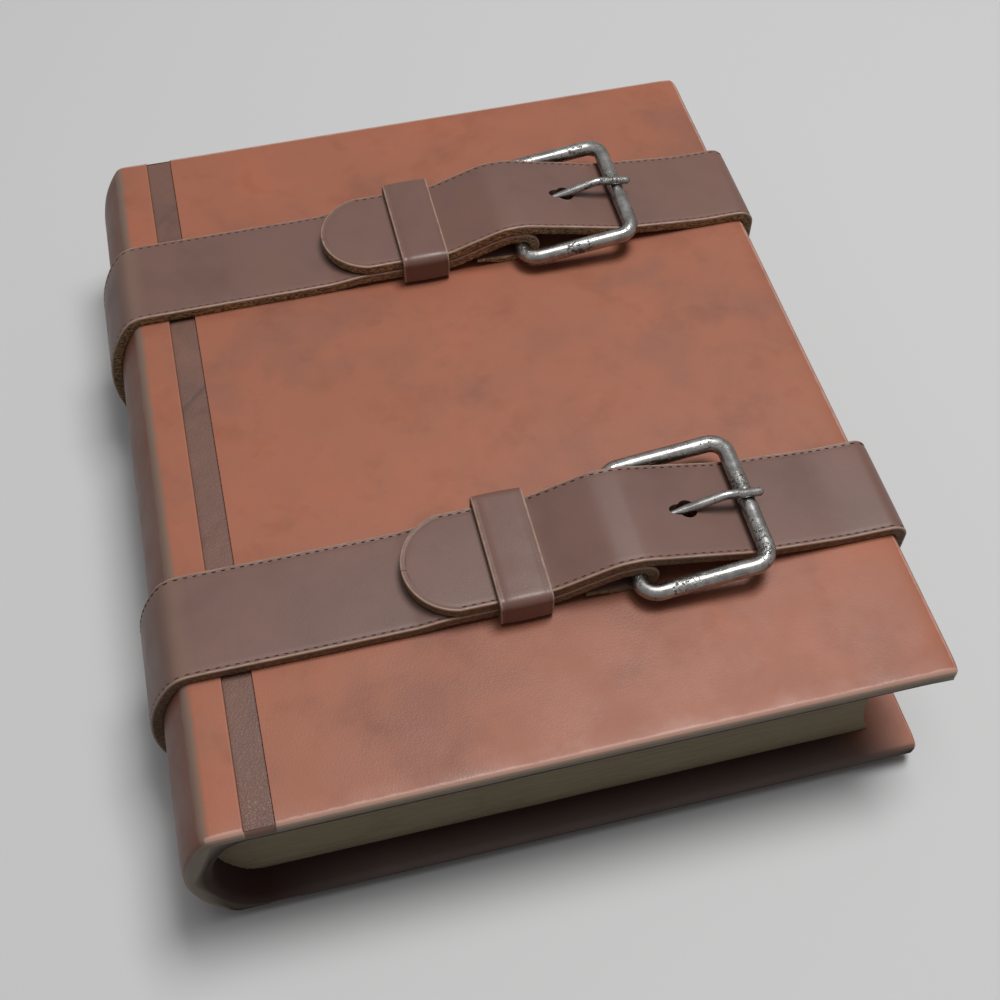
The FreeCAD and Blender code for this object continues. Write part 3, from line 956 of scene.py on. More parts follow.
# %% One stitch
STITCH_PITCH = 2.45
STITCH_LONG = 1.65
STITCH_WIDE = 0.38
STITCH_HIGH = 0.30
STITCH_SUNK = 0.10
STITCH_INSET = 0.98
STITCH_ROWS = 7
STITCH_SIDES = 6


def station_at(run):
    """A station of the route at any distance along it."""
    i = min(max(bisect.bisect_right(route_length, run) - 1, 0), len(route_length) - 2)
    t = (run - route_length[i]) / (route_length[i + 1] - route_length[i])
    (a, left_a), (b, left_b) = strap_route[i], strap_route[i + 1]
    return a.lerp(b, t), left_a.lerp(left_b, t).normalized()


def stitch_rings(middle, side, lean, y_middle, seed):
    """The rings of one stitch, smaller and deeper towards its ends."""
    rings = []
    for k in range(STITCH_ROWS):
        t = -1 + 2 * k / (STITCH_ROWS - 1)
        size = math.sqrt(max(0.0, 1 - t * t)) * 0.75 + 0.25
        run = middle + t * STITCH_LONG / 2
        across = side * (STRAP_WIDTH / 2 - STITCH_INSET) + lean * t + slack(run, seed)
        height = STRAP_THICK / 2 - STITCH_SUNK - 0.20 * t ** 4
        ring = []
        for c in range(STITCH_SIDES):
            angle = math.pi * 2 * c / STITCH_SIDES
            lateral = across + math.cos(angle) * STITCH_WIDE / 2 * size
            top = height + math.sin(angle) * STITCH_HIGH / 2 * size
            ring.append(strap_point(station_at(run), lateral, top, y_middle))
        rings.append(ring)
    return rings


print("points in a stitch:", STITCH_ROWS * STITCH_SIDES)

# %% Stitches along the straps
def make_stitches(place, y_middle):
    points, faces = [], []
    seed = STRAP_SEED[place]
    run, number = FLAP_LENGTH + 14.0, 0
    while run < route_length[-1] - 1.0:
        for side in (-1, 1):
            number += 1
            lean = 0.10 * noise.noise(Vector((number * 1.7, seed, 0)))
            more_points, more_faces = skin(stitch_rings(run, side, lean, y_middle, seed))
            faces += [tuple(len(points) + i for i in face) for face in more_faces]
            points += more_points
        run += STITCH_PITCH
    return new_piece(place + "_stitches", points, faces, {}, 80)


stitches = {}
for place, y_middle in STRAP_PLACES.items():
    stitches[place] = make_stitches(place, y_middle)
    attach(stitches[place], "root")
print("stitch faces:", len(stitches["tail"].data.polygons))

# %% [markdown]
# The keepers
#
# A keeper is a loop of thinner leather that holds the long end down. A plain bent strip would do,
# but wet-formed leather never dries perfectly flat and its edges are bevelled. So it is a closed
# band with a section of its own, a little swollen over the strap and pared thin under it.

# %% Section of a keeper
KEEPER_HALF = 13.9 / 2


def keeper_section():
    """Round the section of the band: along the strap, and the share of its thickness."""
    half, round_off = KEEPER_HALF, 0.5
    face = []
    for k in range(4):
        angle = math.radians(90 * k / 3)
        face.append((half - round_off * (1 - math.cos(angle)), 1 - 0.3 * (1 - math.sin(angle))))
    face += [(half - 0.95, 1.0), (half - 1.25, 0.93), (half - 1.55, 1.0),
             (half - 3.4, 1.02), (half * 0.2, 1.05)]
    mirrored = [(-a, b) for a, b in reversed(face)]
    back = [(-half, 0.12), (-half + 0.15, 0.0), (0.0, 0.0), (half - 0.15, 0.0), (half, 0.12), (half, 0.4)]
    return face + mirrored + back


print("points round a keeper's section:", len(keeper_section()))

# %% Keepers
KEEPER_RUN = 8.5
KEEPER_ROOM = 0.6
KEEPER_SIDE_GAP = 1.3
KEEPER_INNER_CORNER = 0.9
KEEPER_SWELL = 0.10
FACE_SHARE = 0.9


def make_keeper(place, y_middle):
    middle = X_FORE - SLOPE_END - KEEPER_RUN
    z_low = Z_COVER + KEEPER_GAP + KEEPER_UNDER
    z_top = KEEPER_LEVEL + STRAP_THICK + LAYER_GAP + STRAP_THICK / 2 + KEEPER_ROOM
    half, soft = STRAP_WIDTH / 2 + KEEPER_SIDE_GAP, KEEPER_INNER_CORNER
    corners = [(half, z_top, soft), (-half, z_top, soft), (-half, z_low, soft), (half, z_low, soft)]
    rings, marks = [], {"edge": [], "side": []}
    for spot, left in stations(corners, 1.0, 0.16, closed=True):
        loop = []
        # 1 under the strap and 0 over it
        below = min(1.0, max(0.0, left.y))
        thick = KEEPER_LEATHER + (KEEPER_UNDER - KEEPER_LEATHER) * below
        x_wave = 0.04 * waver(spot.x, 0.0, spot.y, 9.0, y_middle + 3)
        for along, share in keeper_section():
            swell = KEEPER_SWELL * (1 - (along / KEEPER_HALF) ** 2)
            swell += 0.05 * waver(spot.x, along, spot.y, 6.0, y_middle)
            reach = share * thick + (swell * (1 - below) if share > FACE_SHARE else 0.0)
            loop.append((middle + along + x_wave, y_middle + spot.x - left.x * reach,
                         spot.y - left.y * reach))
            from_edge = KEEPER_HALF - abs(along)
            marks["edge"].append(near(from_edge, 0.95) if share > 0.3 else 0.0)
            marks["side"].append(1.0 if from_edge < 0.02 and share < 0.75 else 0.0)
        rings.append(loop)
    points, faces = skin(rings, closed=True)
    piece = new_piece(place + "_keeper_leather", points, faces, marks, 42)
    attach(piece, place + "_loop")
    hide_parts(place + "_keeper")
    return piece


keepers = {place: make_keeper(place, y) for place, y in STRAP_PLACES.items()}
print("keeper faces:", len(keepers["tail"].data.polygons))

# %% [markdown]
# The buckles
#
# A wire buckle is a bent ring of thick wire. A bevelled curve would make a smooth one, but years
# of use dent the metal, and the free bar is filed down where the prong rests. So it is a tube of
# points: stations along the centre line with a circle round each, pushed in and out a little.

# %% Tubes along a line in space
def make_tube(name, line, radii, closed, sides, dents, seed, shape):
    """A round wire along a list of points, with a radius at each; shape places its points."""
    rings, count = [], len(line)
    first_across = Vector((0, 0, 1)) if closed else Vector((0, 1, 0))
    for i, (spot, radius) in enumerate(zip(line, radii)):
        before = line[i - 1] if closed or i else spot
        after = line[(i + 1) % count] if closed or i < count - 1 else spot
        way = (after - before).normalized()
        other = way.cross(first_across).normalized()
        across = other.cross(way).normalized()
        loop = []
        for k in range(sides):
            angle = math.pi * 2 * k / sides
            out = across * math.cos(angle) + other * math.sin(angle)
            place = spot + out * radius
            dent = dents * (waver(*place, 3.4, seed) + 0.5 * waver(*place, 1.3, seed + 4))
            loop.append(tuple(shape(spot + out * (radius + dent))))
        rings.append(loop)
    points, faces = skin(rings, closed=closed)
    return new_piece(name, points, faces, {}, 60)


# %% Buckle frames
FRAME_HALF = STRAP_WIDTH / 2 + 2.65 + WIRE_R
FRAME_BEND = 4.6
NOTCH_R = PRONG_R + SIDE_ROOM
PRONG_OVER_BAR = FREE_UP + WIRE_R - SEAT_DEPTH + SEAT_GAP + PRONG_R
FALL = math.atan2(PRONG_OVER_BAR - KNEE.z, KNEE_BEFORE)


def make_frame(place, y_middle):
    corners = [(0.0, -FRAME_HALF, FRAME_BEND), (FRAME_LENGTH, -FRAME_HALF, FRAME_BEND),
               (FRAME_LENGTH, FRAME_HALF, FRAME_BEND), (0.0, FRAME_HALF, FRAME_BEND)]
    line = [Vector((spot.x, spot.y, 0)) for spot, _ in stations(corners, 0.7, 0.5, closed=True)]
    lean = Matrix.Rotation(-math.atan2(FREE_UP, FREE_ALONG), 3, "Y")
    notch_way = Vector((math.cos(FALL), 0, math.sin(FALL)))
    notch_middle = Vector((FREE_ALONG, 0, FREE_UP + WIRE_R - SEAT_DEPTH + NOTCH_R))

    def seat(point):
        """Lean the frame on the strap, and file the notch under the prong."""
        point = lean @ point
        away = point - notch_middle
        away -= notch_way * away.dot(notch_way)
        if point.x > FRAME_LENGTH / 2 and away.length < NOTCH_R:
            point += away.normalized() * (NOTCH_R - away.length)
        return point + Vector((BAR_X, y_middle, BAR_Z))

    radii = [WIRE_R - 0.03] * len(line)
    piece = make_tube(place + "_buckle_wire", line, radii, True, 36, 0.03, y_middle, seat)
    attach(piece, place + "_frame")
    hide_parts(place + "_buckle_frame")
    return piece


buckles = {place: make_frame(place, y) for place, y in STRAP_PLACES.items()}
print("buckle faces:", len(buckles["tail"].data.polygons))

# %% [markdown]
# The prongs
#
# The prong is a thinner wire with one bend and a blunt end, and its ring turns on the bar in the
# fold. A straight pin would float above the strap: the bend lets it come up through the hole and
# lie down on the free bar. Shank and ring are two meshes joined into one object, because they are
# one forging.

# %% Shank and ring of a prong
PRONG_OVER = 4.35
KNEE_BEND = 7.0
BLUNT = 1.3
EYE_WALL = 1.6
RING_STEPS = 48


def shank_radius(share, to_end):
    """A little thinner at the ring, and rounded off over the last stretch."""
    radius = PRONG_R * (0.9 + 0.1 * min(1.0, share / 0.5))
    if to_end < BLUNT:
        radius *= math.sqrt(max(0.02, 1 - ((BLUNT - to_end) / BLUNT) ** 2.4 * 0.8))
    return radius


def ring_loops(y_middle):
    """Sections of the ring round the bar, each with small bevels."""
    section = [(-PRONG_R + 0.25, 0.02), (-PRONG_R, 0.25), (-PRONG_R, EYE_WALL - 0.3),
               (-PRONG_R + 0.3, EYE_WALL)]
    section += [(-y, r) for y, r in reversed(section)]
    loops = []
    for k in range(RING_STEPS):
        angle = math.pi * 2 * k / RING_STEPS
        loops.append([(BAR_X + math.cos(angle) * (FOLD_INNER + r), y_middle + y,
                       BAR_Z + math.sin(angle) * (FOLD_INNER + r)) for y, r in section])
    return loops


print("points in a prong's ring:", sum(len(loop) for loop in ring_loops(0.0)))

# %% Prongs
def make_prong(place, y_middle):
    eye = FOLD_INNER + EYE_WALL / 2
    start = (eye * math.cos(SHANK), eye * math.sin(SHANK), 0.0)
    end = (FREE_ALONG + PRONG_OVER, PRONG_OVER_BAR + PRONG_OVER * math.tan(FALL), 0.0)
    chain = stations([start, (KNEE.x, KNEE.z, KNEE_BEND), end], 0.6, 0.5)
    shank = [Vector((p.x, 0, p.y)) for p, _ in chain]
    radii = [shank_radius(i / len(shank), (shank[-1] - p).length) for i, p in enumerate(shank)]
    bar = Vector((BAR_X, y_middle, BAR_Z))
    piece = make_tube(place + "_prong_wire", shank, radii, False, 24, 0.04, y_middle + 9, lambda p: p + bar)
    points, faces = skin(ring_loops(y_middle), closed=True)
    ring = new_piece("prong_ring", points, faces, {}, 40)
    joined = bmesh.new()
    joined.from_mesh(piece.data)
    joined.from_mesh(ring.data)
    joined.to_mesh(piece.data)
    joined.free()
    bpy.data.objects.remove(ring)
    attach(piece, place + "_tongue")
    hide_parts(place + "_prong")
    return piece


prongs = {place: make_prong(place, y) for place, y in STRAP_PLACES.items()}
print("prong faces:", len(prongs["tail"].data.polygons))

# %% [markdown]
# Shared effects as node groups
#
# Several finishes need the same things: leather grain, soft blotches and worn edges. They could be
# wired anew in every material, but one node group with named inputs and outputs is built once and
# placed with its own values. A group only gives colours, masks and heights. The shader itself
# stays in the material.

# %% Helpers for node trees
def sockets(group, inputs, outputs):
    """Name the inputs and outputs of a group."""
    for label, value in inputs.items():
        kind = "NodeSocketColor" if isinstance(value, tuple) else "NodeSocketFloat"
        socket = group.interface.new_socket(label, in_out="INPUT", socket_type=kind)
        socket.default_value = value
    for label, kind in outputs.items():
        group.interface.new_socket(label, in_out="OUTPUT", socket_type=kind)


class Bench:
    """A small helper that adds nodes to a tree and links them by name."""

    def __init__(self, tree):
        self.tree = tree

    def add(self, kind, settings=None, **inputs):
        node = self.tree.nodes.new(kind)
        for key, value in (settings or {}).items():
            setattr(node, key, value)
        for key, value in inputs.items():
            self.set(node, key.replace("_", " "), value)
        return node

    def put_in(self, socket, value):
        """Link another node's output into a socket, or set its plain value."""
        if isinstance(value, bpy.types.NodeSocket):
            self.tree.links.new(value, socket)
        else:
            socket.default_value = value

    def set(self, node, key, value):
        """The socket is named, or numbered as n0, n1 and so on."""
        numbered = key[0] == "n" and key[1:].isdigit()
        self.put_in(node.inputs[int(key[1:]) if numbered else key], value)

    def math(self, operation, a, b=0.0, clamp=False):
        node = self.add("ShaderNodeMath", {"operation": operation, "use_clamp": clamp}, n0=a, n1=b)
        return node.outputs[0]

    def mix(self, share, a, b, blend="MIX"):
        node = self.tree.nodes.new("ShaderNodeMix")
        node.data_type = "RGBA"
        node.blend_type = blend
        for number, value in ((0, share), (6, a), (7, b)):
            self.put_in(node.inputs[number], value)
        return node.outputs[2]

    def ramp(self, value, low, high, to_low=0.0, to_high=1.0, smooth=True):
        node = self.add("ShaderNodeMapRange", {"interpolation_type": "SMOOTHSTEP" if smooth else "LINEAR"})
        for key, v in zip(("Value", "From Min", "From Max", "To Min", "To Max"),
                          (value, low, high, to_low, to_high)):
            self.set(node, key, v)
        return node.outputs[0]

    def noise(self, place, scale, detail=2.0, rough=0.5, distortion=0.0):
        node = self.add("ShaderNodeTexNoise", None, Vector=place, Scale=scale, Detail=detail,
                        Roughness=rough, Distortion=distortion)
        return node.outputs[0]

    def cells(self, place, scale, feature="F1", random=1.0):
        node = self.add("ShaderNodeTexVoronoi", {"feature": feature}, Vector=place, Scale=scale,
                        Randomness=random)
        return node.outputs[0]


# %% Start a group, and write colours as seen on screen
def start_group(name, inputs, outputs):
    group = bpy.data.node_groups.new(name, "ShaderNodeTree")
    sockets(group, inputs, outputs)
    bench = Bench(group)
    return group, bench, bench.add("NodeGroupInput"), bench.add("NodeGroupOutput")


def rgb(red, green, blue):
    """A colour written as 0 to 255 on screen, as the linear colour that a shader wants."""
    def linear(v):
        v /= 255.0
        return v / 12.92 if v <= 0.04045 else ((v + 0.055) / 1.055) ** 2.4
    return (linear(red), linear(green), linear(blue), 1.0)


print("a grey of 128 on screen is", round(rgb(128, 128, 128)[0], 3), "to a shader")

# %% [markdown]
# Leather grain
#
# Grain is a net of tiny valleys between pebbles of skin. Noise alone looks like sand, and cells
# alone like fish scales. So a cell pattern gives the pebbles and noise breaks up their regularity.
# It is a height only, and each material decides how deep it is.

# %% Group: leather grain
def build_grain():
    group, b, inp, out = start_group(
        "leather grain", {"Pebble size": 1.0, "Softness": 0.5, "Wrinkles": 0.3},
        {"Height": "NodeSocketFloat", "Pores": "NodeSocketFloat"})
    place = b.add("ShaderNodeTexCoord").outputs["Object"]
    scale = b.math("DIVIDE", 1000.0, inp.outputs["Pebble size"])
    bent = b.add("ShaderNodeVectorMath", {"operation": "ADD"})
    shift = b.add("ShaderNodeTexNoise", None, Vector=place, Scale=420.0, Detail=2.0)
    drift = b.add("ShaderNodeVectorMath", {"operation": "SCALE"})
    b.set(drift, "n0", shift.outputs["Color"])
    drift.inputs["Scale"].default_value = 0.0009
    b.set(bent, "n0", place)
    b.set(bent, "n1", drift.outputs[0])
    pebble = b.cells(bent.outputs[0], scale, "SMOOTH_F1")
    net = b.cells(bent.outputs[0], scale, "DISTANCE_TO_EDGE")
    valley = b.ramp(net, 0.0, 0.25)
    cloud = b.noise(place, b.math("MULTIPLY", scale, 0.35), 4.0, 0.6)
    wrinkle = b.noise(place, 90.0, 3.0, 0.55, 0.8)
    fold = b.ramp(b.math("ABSOLUTE", b.math("SUBTRACT", wrinkle, 0.5)), 0.0, 0.05)
    lumps = b.math("ADD", b.math("MULTIPLY", valley, b.math("SUBTRACT", 1.0, inp.outputs["Softness"])),
                   b.math("MULTIPLY", cloud, inp.outputs["Softness"]))
    lumps = b.math("SUBTRACT", lumps, b.math("MULTIPLY", pebble, 0.35))
    height = b.math("ADD", lumps, b.math("MULTIPLY", fold, inp.outputs["Wrinkles"]))
    b.set(out, "Height", height)
    b.set(out, "Pores", b.math("SUBTRACT", 1.0, valley))
    return group


grain_group = build_grain()
print("group:", grain_group.name)

# %% [markdown]
# Blotches
#
# Old leather is darker where hands and damp have been. A painted picture would show the same spots
# on every piece, so two sizes of noise make a mask with soft borders, a seed moves it, and the
# group mixes three tones of the same leather.

# %% Group: blotches
def build_blotches():
    group, b, inp, out = start_group(
        "blotches",
        {"Base": (0.3, 0.1, 0.06, 1.0), "Dark": (0.1, 0.05, 0.03, 1.0), "Light": (0.4, 0.2, 0.1, 1.0),
         "Patch size": 30.0, "Dark amount": 0.4, "Light amount": 0.4, "Seed": 0.0},
        {"Color": "NodeSocketColor", "Dark mask": "NodeSocketFloat"})
    place = b.add("ShaderNodeTexCoord").outputs["Object"]
    moved = b.add("ShaderNodeVectorMath", {"operation": "ADD"})
    b.set(moved, "n0", place)
    seed = b.add("ShaderNodeCombineXYZ")
    for axis in range(3):
        b.set(seed, "n%d" % axis, inp.outputs["Seed"])
    b.set(moved, "n1", seed.outputs[0])
    spot = moved.outputs[0]
    scale = b.math("DIVIDE", 1000.0, inp.outputs["Patch size"])
    large = b.noise(spot, scale, 3.0, 0.45, 0.5)
    small = b.noise(spot, b.math("MULTIPLY", scale, 3.3), 3.0, 0.5, 0.4)
    both = b.math("ADD", b.math("MULTIPLY", large, 0.66), b.math("MULTIPLY", small, 0.34))
    dark = b.ramp(both, 0.48, 0.70)
    light = b.ramp(both, 0.50, 0.34)
    tone = b.mix(b.math("MULTIPLY", light, inp.outputs["Light amount"]), inp.outputs["Base"],
                 inp.outputs["Light"])
    tone = b.mix(b.math("MULTIPLY", dark, inp.outputs["Dark amount"]), tone, inp.outputs["Dark"])
    b.set(out, "Color", tone)
    b.set(out, "Dark mask", dark)
    return group


blotch_group = build_blotches()
print("group:", blotch_group.name)

# %% [markdown]
# Worn edges
#
# Where leather has rubbed, its finish is gone and a paler, greyer tone shows through in an uneven
# line. An even border would look printed, so the group takes a mask that the mesh carries, frays
# it with noise and mixes the worn tone over the leather.

# %% Group: worn edges
def build_wear():
    group, b, inp, out = start_group(
        "worn edges", {"Color": (0.3, 0.1, 0.06, 1.0), "Worn": (0.4, 0.3, 0.25, 1.0), "Mask": 0.0,
                       "Fray": 0.5, "Amount": 1.0, "Fray size": 2.0},
        {"Color": "NodeSocketColor", "Mask": "NodeSocketFloat"})
    place = b.add("ShaderNodeTexCoord").outputs["Object"]
    scale = b.math("DIVIDE", 1000.0, inp.outputs["Fray size"])
    ragged = b.math("SUBTRACT", b.noise(place, scale, 5.0, 0.65), 0.5)
    ragged = b.math("MULTIPLY", ragged, b.math("MULTIPLY", inp.outputs["Fray"], 1.6))
    mask = b.ramp(b.math("ADD", inp.outputs["Mask"], ragged), 0.32, 0.72)
    # Nothing is worn where the mask is zero
    mask = b.math("MULTIPLY", mask, b.ramp(inp.outputs["Mask"], 0.0, 0.12))
    mask = b.math("MULTIPLY", mask, inp.outputs["Amount"], True)
    b.set(out, "Color", b.mix(mask, inp.outputs["Color"], inp.outputs["Worn"]))
    b.set(out, "Mask", mask)
    return group


wear_group = build_wear()
print("group:", wear_group.name)

# %% Start a material, and place a group in it
def start_material(name):
    material = bpy.data.materials.new(name)
    material.use_nodes = True
    tree = material.node_tree
    tree.nodes.clear()
    b = Bench(tree)
    shader = b.add("ShaderNodeBsdfPrincipled")
    output = b.add("ShaderNodeOutputMaterial")
    tree.links.new(shader.outputs[0], output.inputs[0])
    return material, b, shader


def place_group(b, group, **values):
    node = b.tree.nodes.new("ShaderNodeGroup")
    node.node_tree = group
    for key, value in values.items():
        b.set(node, key.replace("_", " "), value)
    return node


def mark(b, name):
    """A number that the mesh carries at each point."""
    return b.add("ShaderNodeAttribute", {"attribute_name": name}).outputs["Fac"]


def bump(b, shader, height, distance, strength):
    node = b.add("ShaderNodeBump", None, Height=height, Strength=strength, Distance=distance)
    b.set(shader, "Normal", node.outputs[0])


def dress(piece, *materials):
    piece.data.materials.clear()
    for material in materials:
        piece.data.materials.append(material)


print("groups to place:", [group.name for group in bpy.data.node_groups])

# %% [markdown]
# Cover leather
#
# The cover is red-brown, satin, and blotched with darker patches. Its edges and the shoulder of
# the spine are rubbed grey-brown, and the cut walls of the joints are the orange-red of the
# leather's inside. Light and shade are painted in too: a pale highlight, partly rubbed leather, on
# the crests of the boards' edges, shade on the side of the spine and on the inner faces, eased near
# the ends, and a near-black shadow where the back board stands over the floor. All this could be
# separate pieces, but it is one skin of leather, so the marks that the mesh carries mix one tone
# after another over it. The grain shows most in dark patches.

# %% Material: cover leather
# joint, lip and cut are the leather's own tones; inside is painted shade on the inner faces, and ledge a
# paler tone over it near the ends
SHADES = [("joint", 1.0, rgb(104, 78, 66)), ("lip", 0.5, rgb(180, 128, 106)), ("cut", 0.8, rgb(160, 88, 64)),
          ("inside", 0.97, rgb(44, 24, 19)), ("ledge", 0.85, rgb(118, 102, 96))]


def shade(b, name, amount, colour, tone):
    """Mix a tone over a colour where the mesh carries a mark."""
    return b.mix(b.math("MULTIPLY", mark(b, name), amount), colour, tone)


def cover_material():
    material, b, shader = start_material("cover_leather")
    place = b.add("ShaderNodeTexCoord").outputs["Object"]
    tone = place_group(b, blotch_group, Base=rgb(158, 97, 73), Dark=rgb(124, 82, 68),
                       Light=rgb(170, 99, 70), Patch_size=52.0, Dark_amount=0.55, Light_amount=0.6,
                       Seed=0.37)
    fine = place_group(b, blotch_group, Base=rgb(255, 255, 255), Dark=rgb(236, 230, 226),
                       Light=rgb(255, 255, 255), Patch_size=15.0, Dark_amount=0.7, Light_amount=0.0,
                       Seed=1.9)
    colour = b.mix(1.0, tone.outputs["Color"], fine.outputs["Color"], "MULTIPLY")
    # Painted shade: the rounded side of the spine, which faces away from the lamps, is darker
    colour = shade(b, "spine", 0.75, colour, rgb(104, 68, 57))
    # wear and end_face are rubbed leather; ridge is partly rubbed leather and partly a painted highlight on
    # the edges' crests
    for name, worn, fray, amount, size in (("wear", rgb(126, 110, 98), 0.45, 0.75, 9.0),
                                           ("ridge", rgb(210, 172, 158), 0.45, 0.5, 3.0),
                                           ("end_face", rgb(140, 122, 104), 0.3, 0.9, 4.0)):
        wear_and_sheen = place_group(b, wear_group, Color=colour, Worn=worn, Mask=mark(b, name), Fray=fray,
                             Amount=amount, Fray_size=size)
        colour = wear_and_sheen.outputs["Color"]
    # Painted shadow: near black where the back board's ends stand over the floor
    colour = shade(b, "low", 0.95, colour, rgb(24, 20, 18))
    for name, amount, shade_tone in SHADES:
        colour = shade(b, name, amount, colour, shade_tone)
    grain = place_group(b, grain_group, Pebble_size=0.85, Softness=0.55, Wrinkles=0.12)
    b.set(shader, "Base Color", colour)
    rough = b.ramp(b.noise(place, 60.0, 4.0, 0.6), 0.3, 0.7, 0.42, 0.53)
    hidden = b.math("MAXIMUM", mark(b, "inside"), mark(b, "low"))
    rough = b.math("ADD", rough, b.math("MULTIPLY", hidden, 0.4))
    b.set(shader, "Roughness", b.math("SUBTRACT", rough, b.math("MULTIPLY", mark(b, "ridge"), 0.12)))
    depth = b.math("ADD", 0.55, b.math("MULTIPLY", tone.outputs["Dark mask"], 0.6))
    bump(b, shader, b.math("MULTIPLY", grain.outputs["Height"], depth), 0.00004, 0.8)
    shader.inputs["Specular IOR Level"].default_value = 0.42
    return material


cover_finish = cover_material()
dress(cover, cover_finish)
print("cover nodes:", len(cover_finish.node_tree.nodes))

# %% [markdown]
# Joint leather
#
# The strip in the joint is dull brown with a little of the cover's red, and at the tail end it is
# gritty, where the finish has cracked. The grit could be modelled, but its grains are finer than
# a tenth of a millimetre. So a speckled noise colours and lifts them, where the mesh says.

# %% Material: joint leather
def joint_material():
    material, b, shader = start_material("joint_leather")
    tone = place_group(b, blotch_group, Base=rgb(110, 78, 66), Dark=rgb(94, 67, 58), Light=rgb(122, 84, 70),
                       Patch_size=16.0, Dark_amount=0.8, Light_amount=0.6, Seed=2.6)
    place = b.add("ShaderNodeTexCoord").outputs["Object"]
    speck = b.noise(place, 1500.0, 4.0, 0.75)
    grit = b.math("MULTIPLY", b.ramp(speck, 0.50, 0.60), mark(b, "grit"))
    # Painted shade: the creases are darkened
    crease_shaded = b.mix(b.math("MULTIPLY", mark(b, "crease"), 0.7), tone.outputs["Color"], rgb(84, 62, 54))
    colour = b.mix(b.math("MULTIPLY", grit, 0.45), crease_shaded, rgb(172, 140, 126))
    b.set(shader, "Base Color", colour)
    b.set(shader, "Roughness", b.ramp(speck, 0.2, 0.8, 0.42, 0.6))
    grain = place_group(b, grain_group, Pebble_size=0.8, Softness=0.4, Wrinkles=0.3)
    height = b.math("ADD", grain.outputs["Height"], b.math("MULTIPLY", grit, 1.2))
    bump(b, shader, height, 0.00006, 0.8)
    return material


joint_finish = joint_material()
dress(front_joint, joint_finish)
dress(back_joint, joint_finish)
print("joint nodes:", len(joint_finish.node_tree.nodes))

# %% [markdown]
# Strap leather
#
# Strap leather is browner and tighter than the cover. Its bevelled edge is pale, partly burnished
# and partly a painted highlight along the bevel, and a paler band where it bends over the spine is
# a painted highlight. Its sides show bundles of fibre. Fibres could be hairs, but they are pressed
# flat, so they are streaks of a noise stretched along the strap. The two straps differ a little:
# the side of one is raw, the other was dressed smooth. One function makes both, and the keepers'
# leather too.

# %% Material: strap leather
def strap_material(name, fibre, base, seed, polished=0.40):
    material, b, shader = start_material(name)
    place = b.add("ShaderNodeTexCoord").outputs["Object"]
    tone = place_group(b, blotch_group, Base=base, Dark=rgb(96, 68, 60), Light=rgb(122, 86, 74),
                       Patch_size=34.0, Dark_amount=0.55, Light_amount=0.5, Seed=seed)
    # Painted highlight: a paler band where the strap bends over the spine
    wear_and_sheen = b.mix(b.math("MULTIPLY", mark(b, "bend"), 0.35), tone.outputs["Color"], rgb(150, 126, 110))
    # The pale edge tone is partly worn leather and partly a painted highlight along the bevel
    worn = place_group(b, wear_group, Color=wear_and_sheen, Worn=rgb(170, 142, 124),
                       Mask=mark(b, "edge"), Fray=0.5, Amount=0.9, Fray_size=3.0)
    stretched = b.add("ShaderNodeMapping", {"vector_type": "POINT"}, Vector=place)
    stretched.inputs["Scale"].default_value = (0.45, 1.0, 1.3)
    fibres = b.noise(stretched.outputs[0], 1700.0, 5.0, 0.75, 0.8)
    strands = b.ramp(fibres, 0.42, 0.60)
    side = b.mix(strands, rgb(76, 56, 38), rgb(188, 154, 112))
    side = b.mix(b.math("SUBTRACT", 1.0, fibre), side, rgb(100, 78, 64))
    colour = b.mix(mark(b, "side"), worn.outputs["Color"], side)
    b.set(shader, "Base Color", colour)
    grain = place_group(b, grain_group, Pebble_size=0.55, Softness=0.6, Wrinkles=0.08)
    smooth = b.ramp(b.noise(place, 85.0, 4.0, 0.6), 0.3, 0.7, polished, polished + 0.1)
    b.set(shader, "Roughness", b.math("ADD", smooth, b.math("MULTIPLY", mark(b, "side"), 0.35)))
    height = b.math("ADD", b.math("MULTIPLY", grain.outputs["Height"], 0.45),
                    b.math("MULTIPLY", b.math("MULTIPLY", fibres, mark(b, "side")), 2.5 * fibre))
    bump(b, shader, height, 0.00005, 0.8)
    return material


STRAP_TONE = rgb(112, 82, 72)
strap_finish = {"tail": strap_material("tail_strap_leather", STRAP_FIBRE["tail"], STRAP_TONE, 5.2),
                "head": strap_material("head_strap_leather", STRAP_FIBRE["head"], STRAP_TONE, 3.3)}
keeper_finish = strap_material("keeper_leather", STRAP_FIBRE["tail"], STRAP_TONE, 7.7, 0.31)
for place in STRAP_PLACES:
    dress(straps[place], strap_finish[place])
    dress(keepers[place], keeper_finish)
print("strap nodes:", len(keeper_finish.node_tree.nodes))

# %% [markdown]
# Thread
#
# Waxed thread is dark and matt. Its twist is finer than the stitches' own mesh, so a fine noise
# stands for it, in the colour and as a bump. The head strap's thread has faded nearly to the
# leather's brown, which is why there are two finishes.

# %% Material: thread
def thread_material(name, colour, warm):
    material, b, shader = start_material(name)
    place = b.add("ShaderNodeTexCoord").outputs["Object"]
    twist = b.noise(place, 2600.0, 2.0, 0.5)
    b.set(shader, "Base Color", b.mix(twist, colour, warm))
    shader.inputs["Roughness"].default_value = 0.85
    shader.inputs["Specular IOR Level"].default_value = 0.15
    bump(b, shader, twist, 0.00008, 0.7)
    return material


dark_thread = thread_material("dark_thread", rgb(44, 28, 23), rgb(66, 46, 38))
faded_thread = thread_material("faded_thread", rgb(86, 62, 53), rgb(98, 70, 60))
dress(stitches["tail"], dark_thread)
dress(stitches["head"], faded_thread)
print("thread finishes:", dark_thread.name, faded_thread.name)

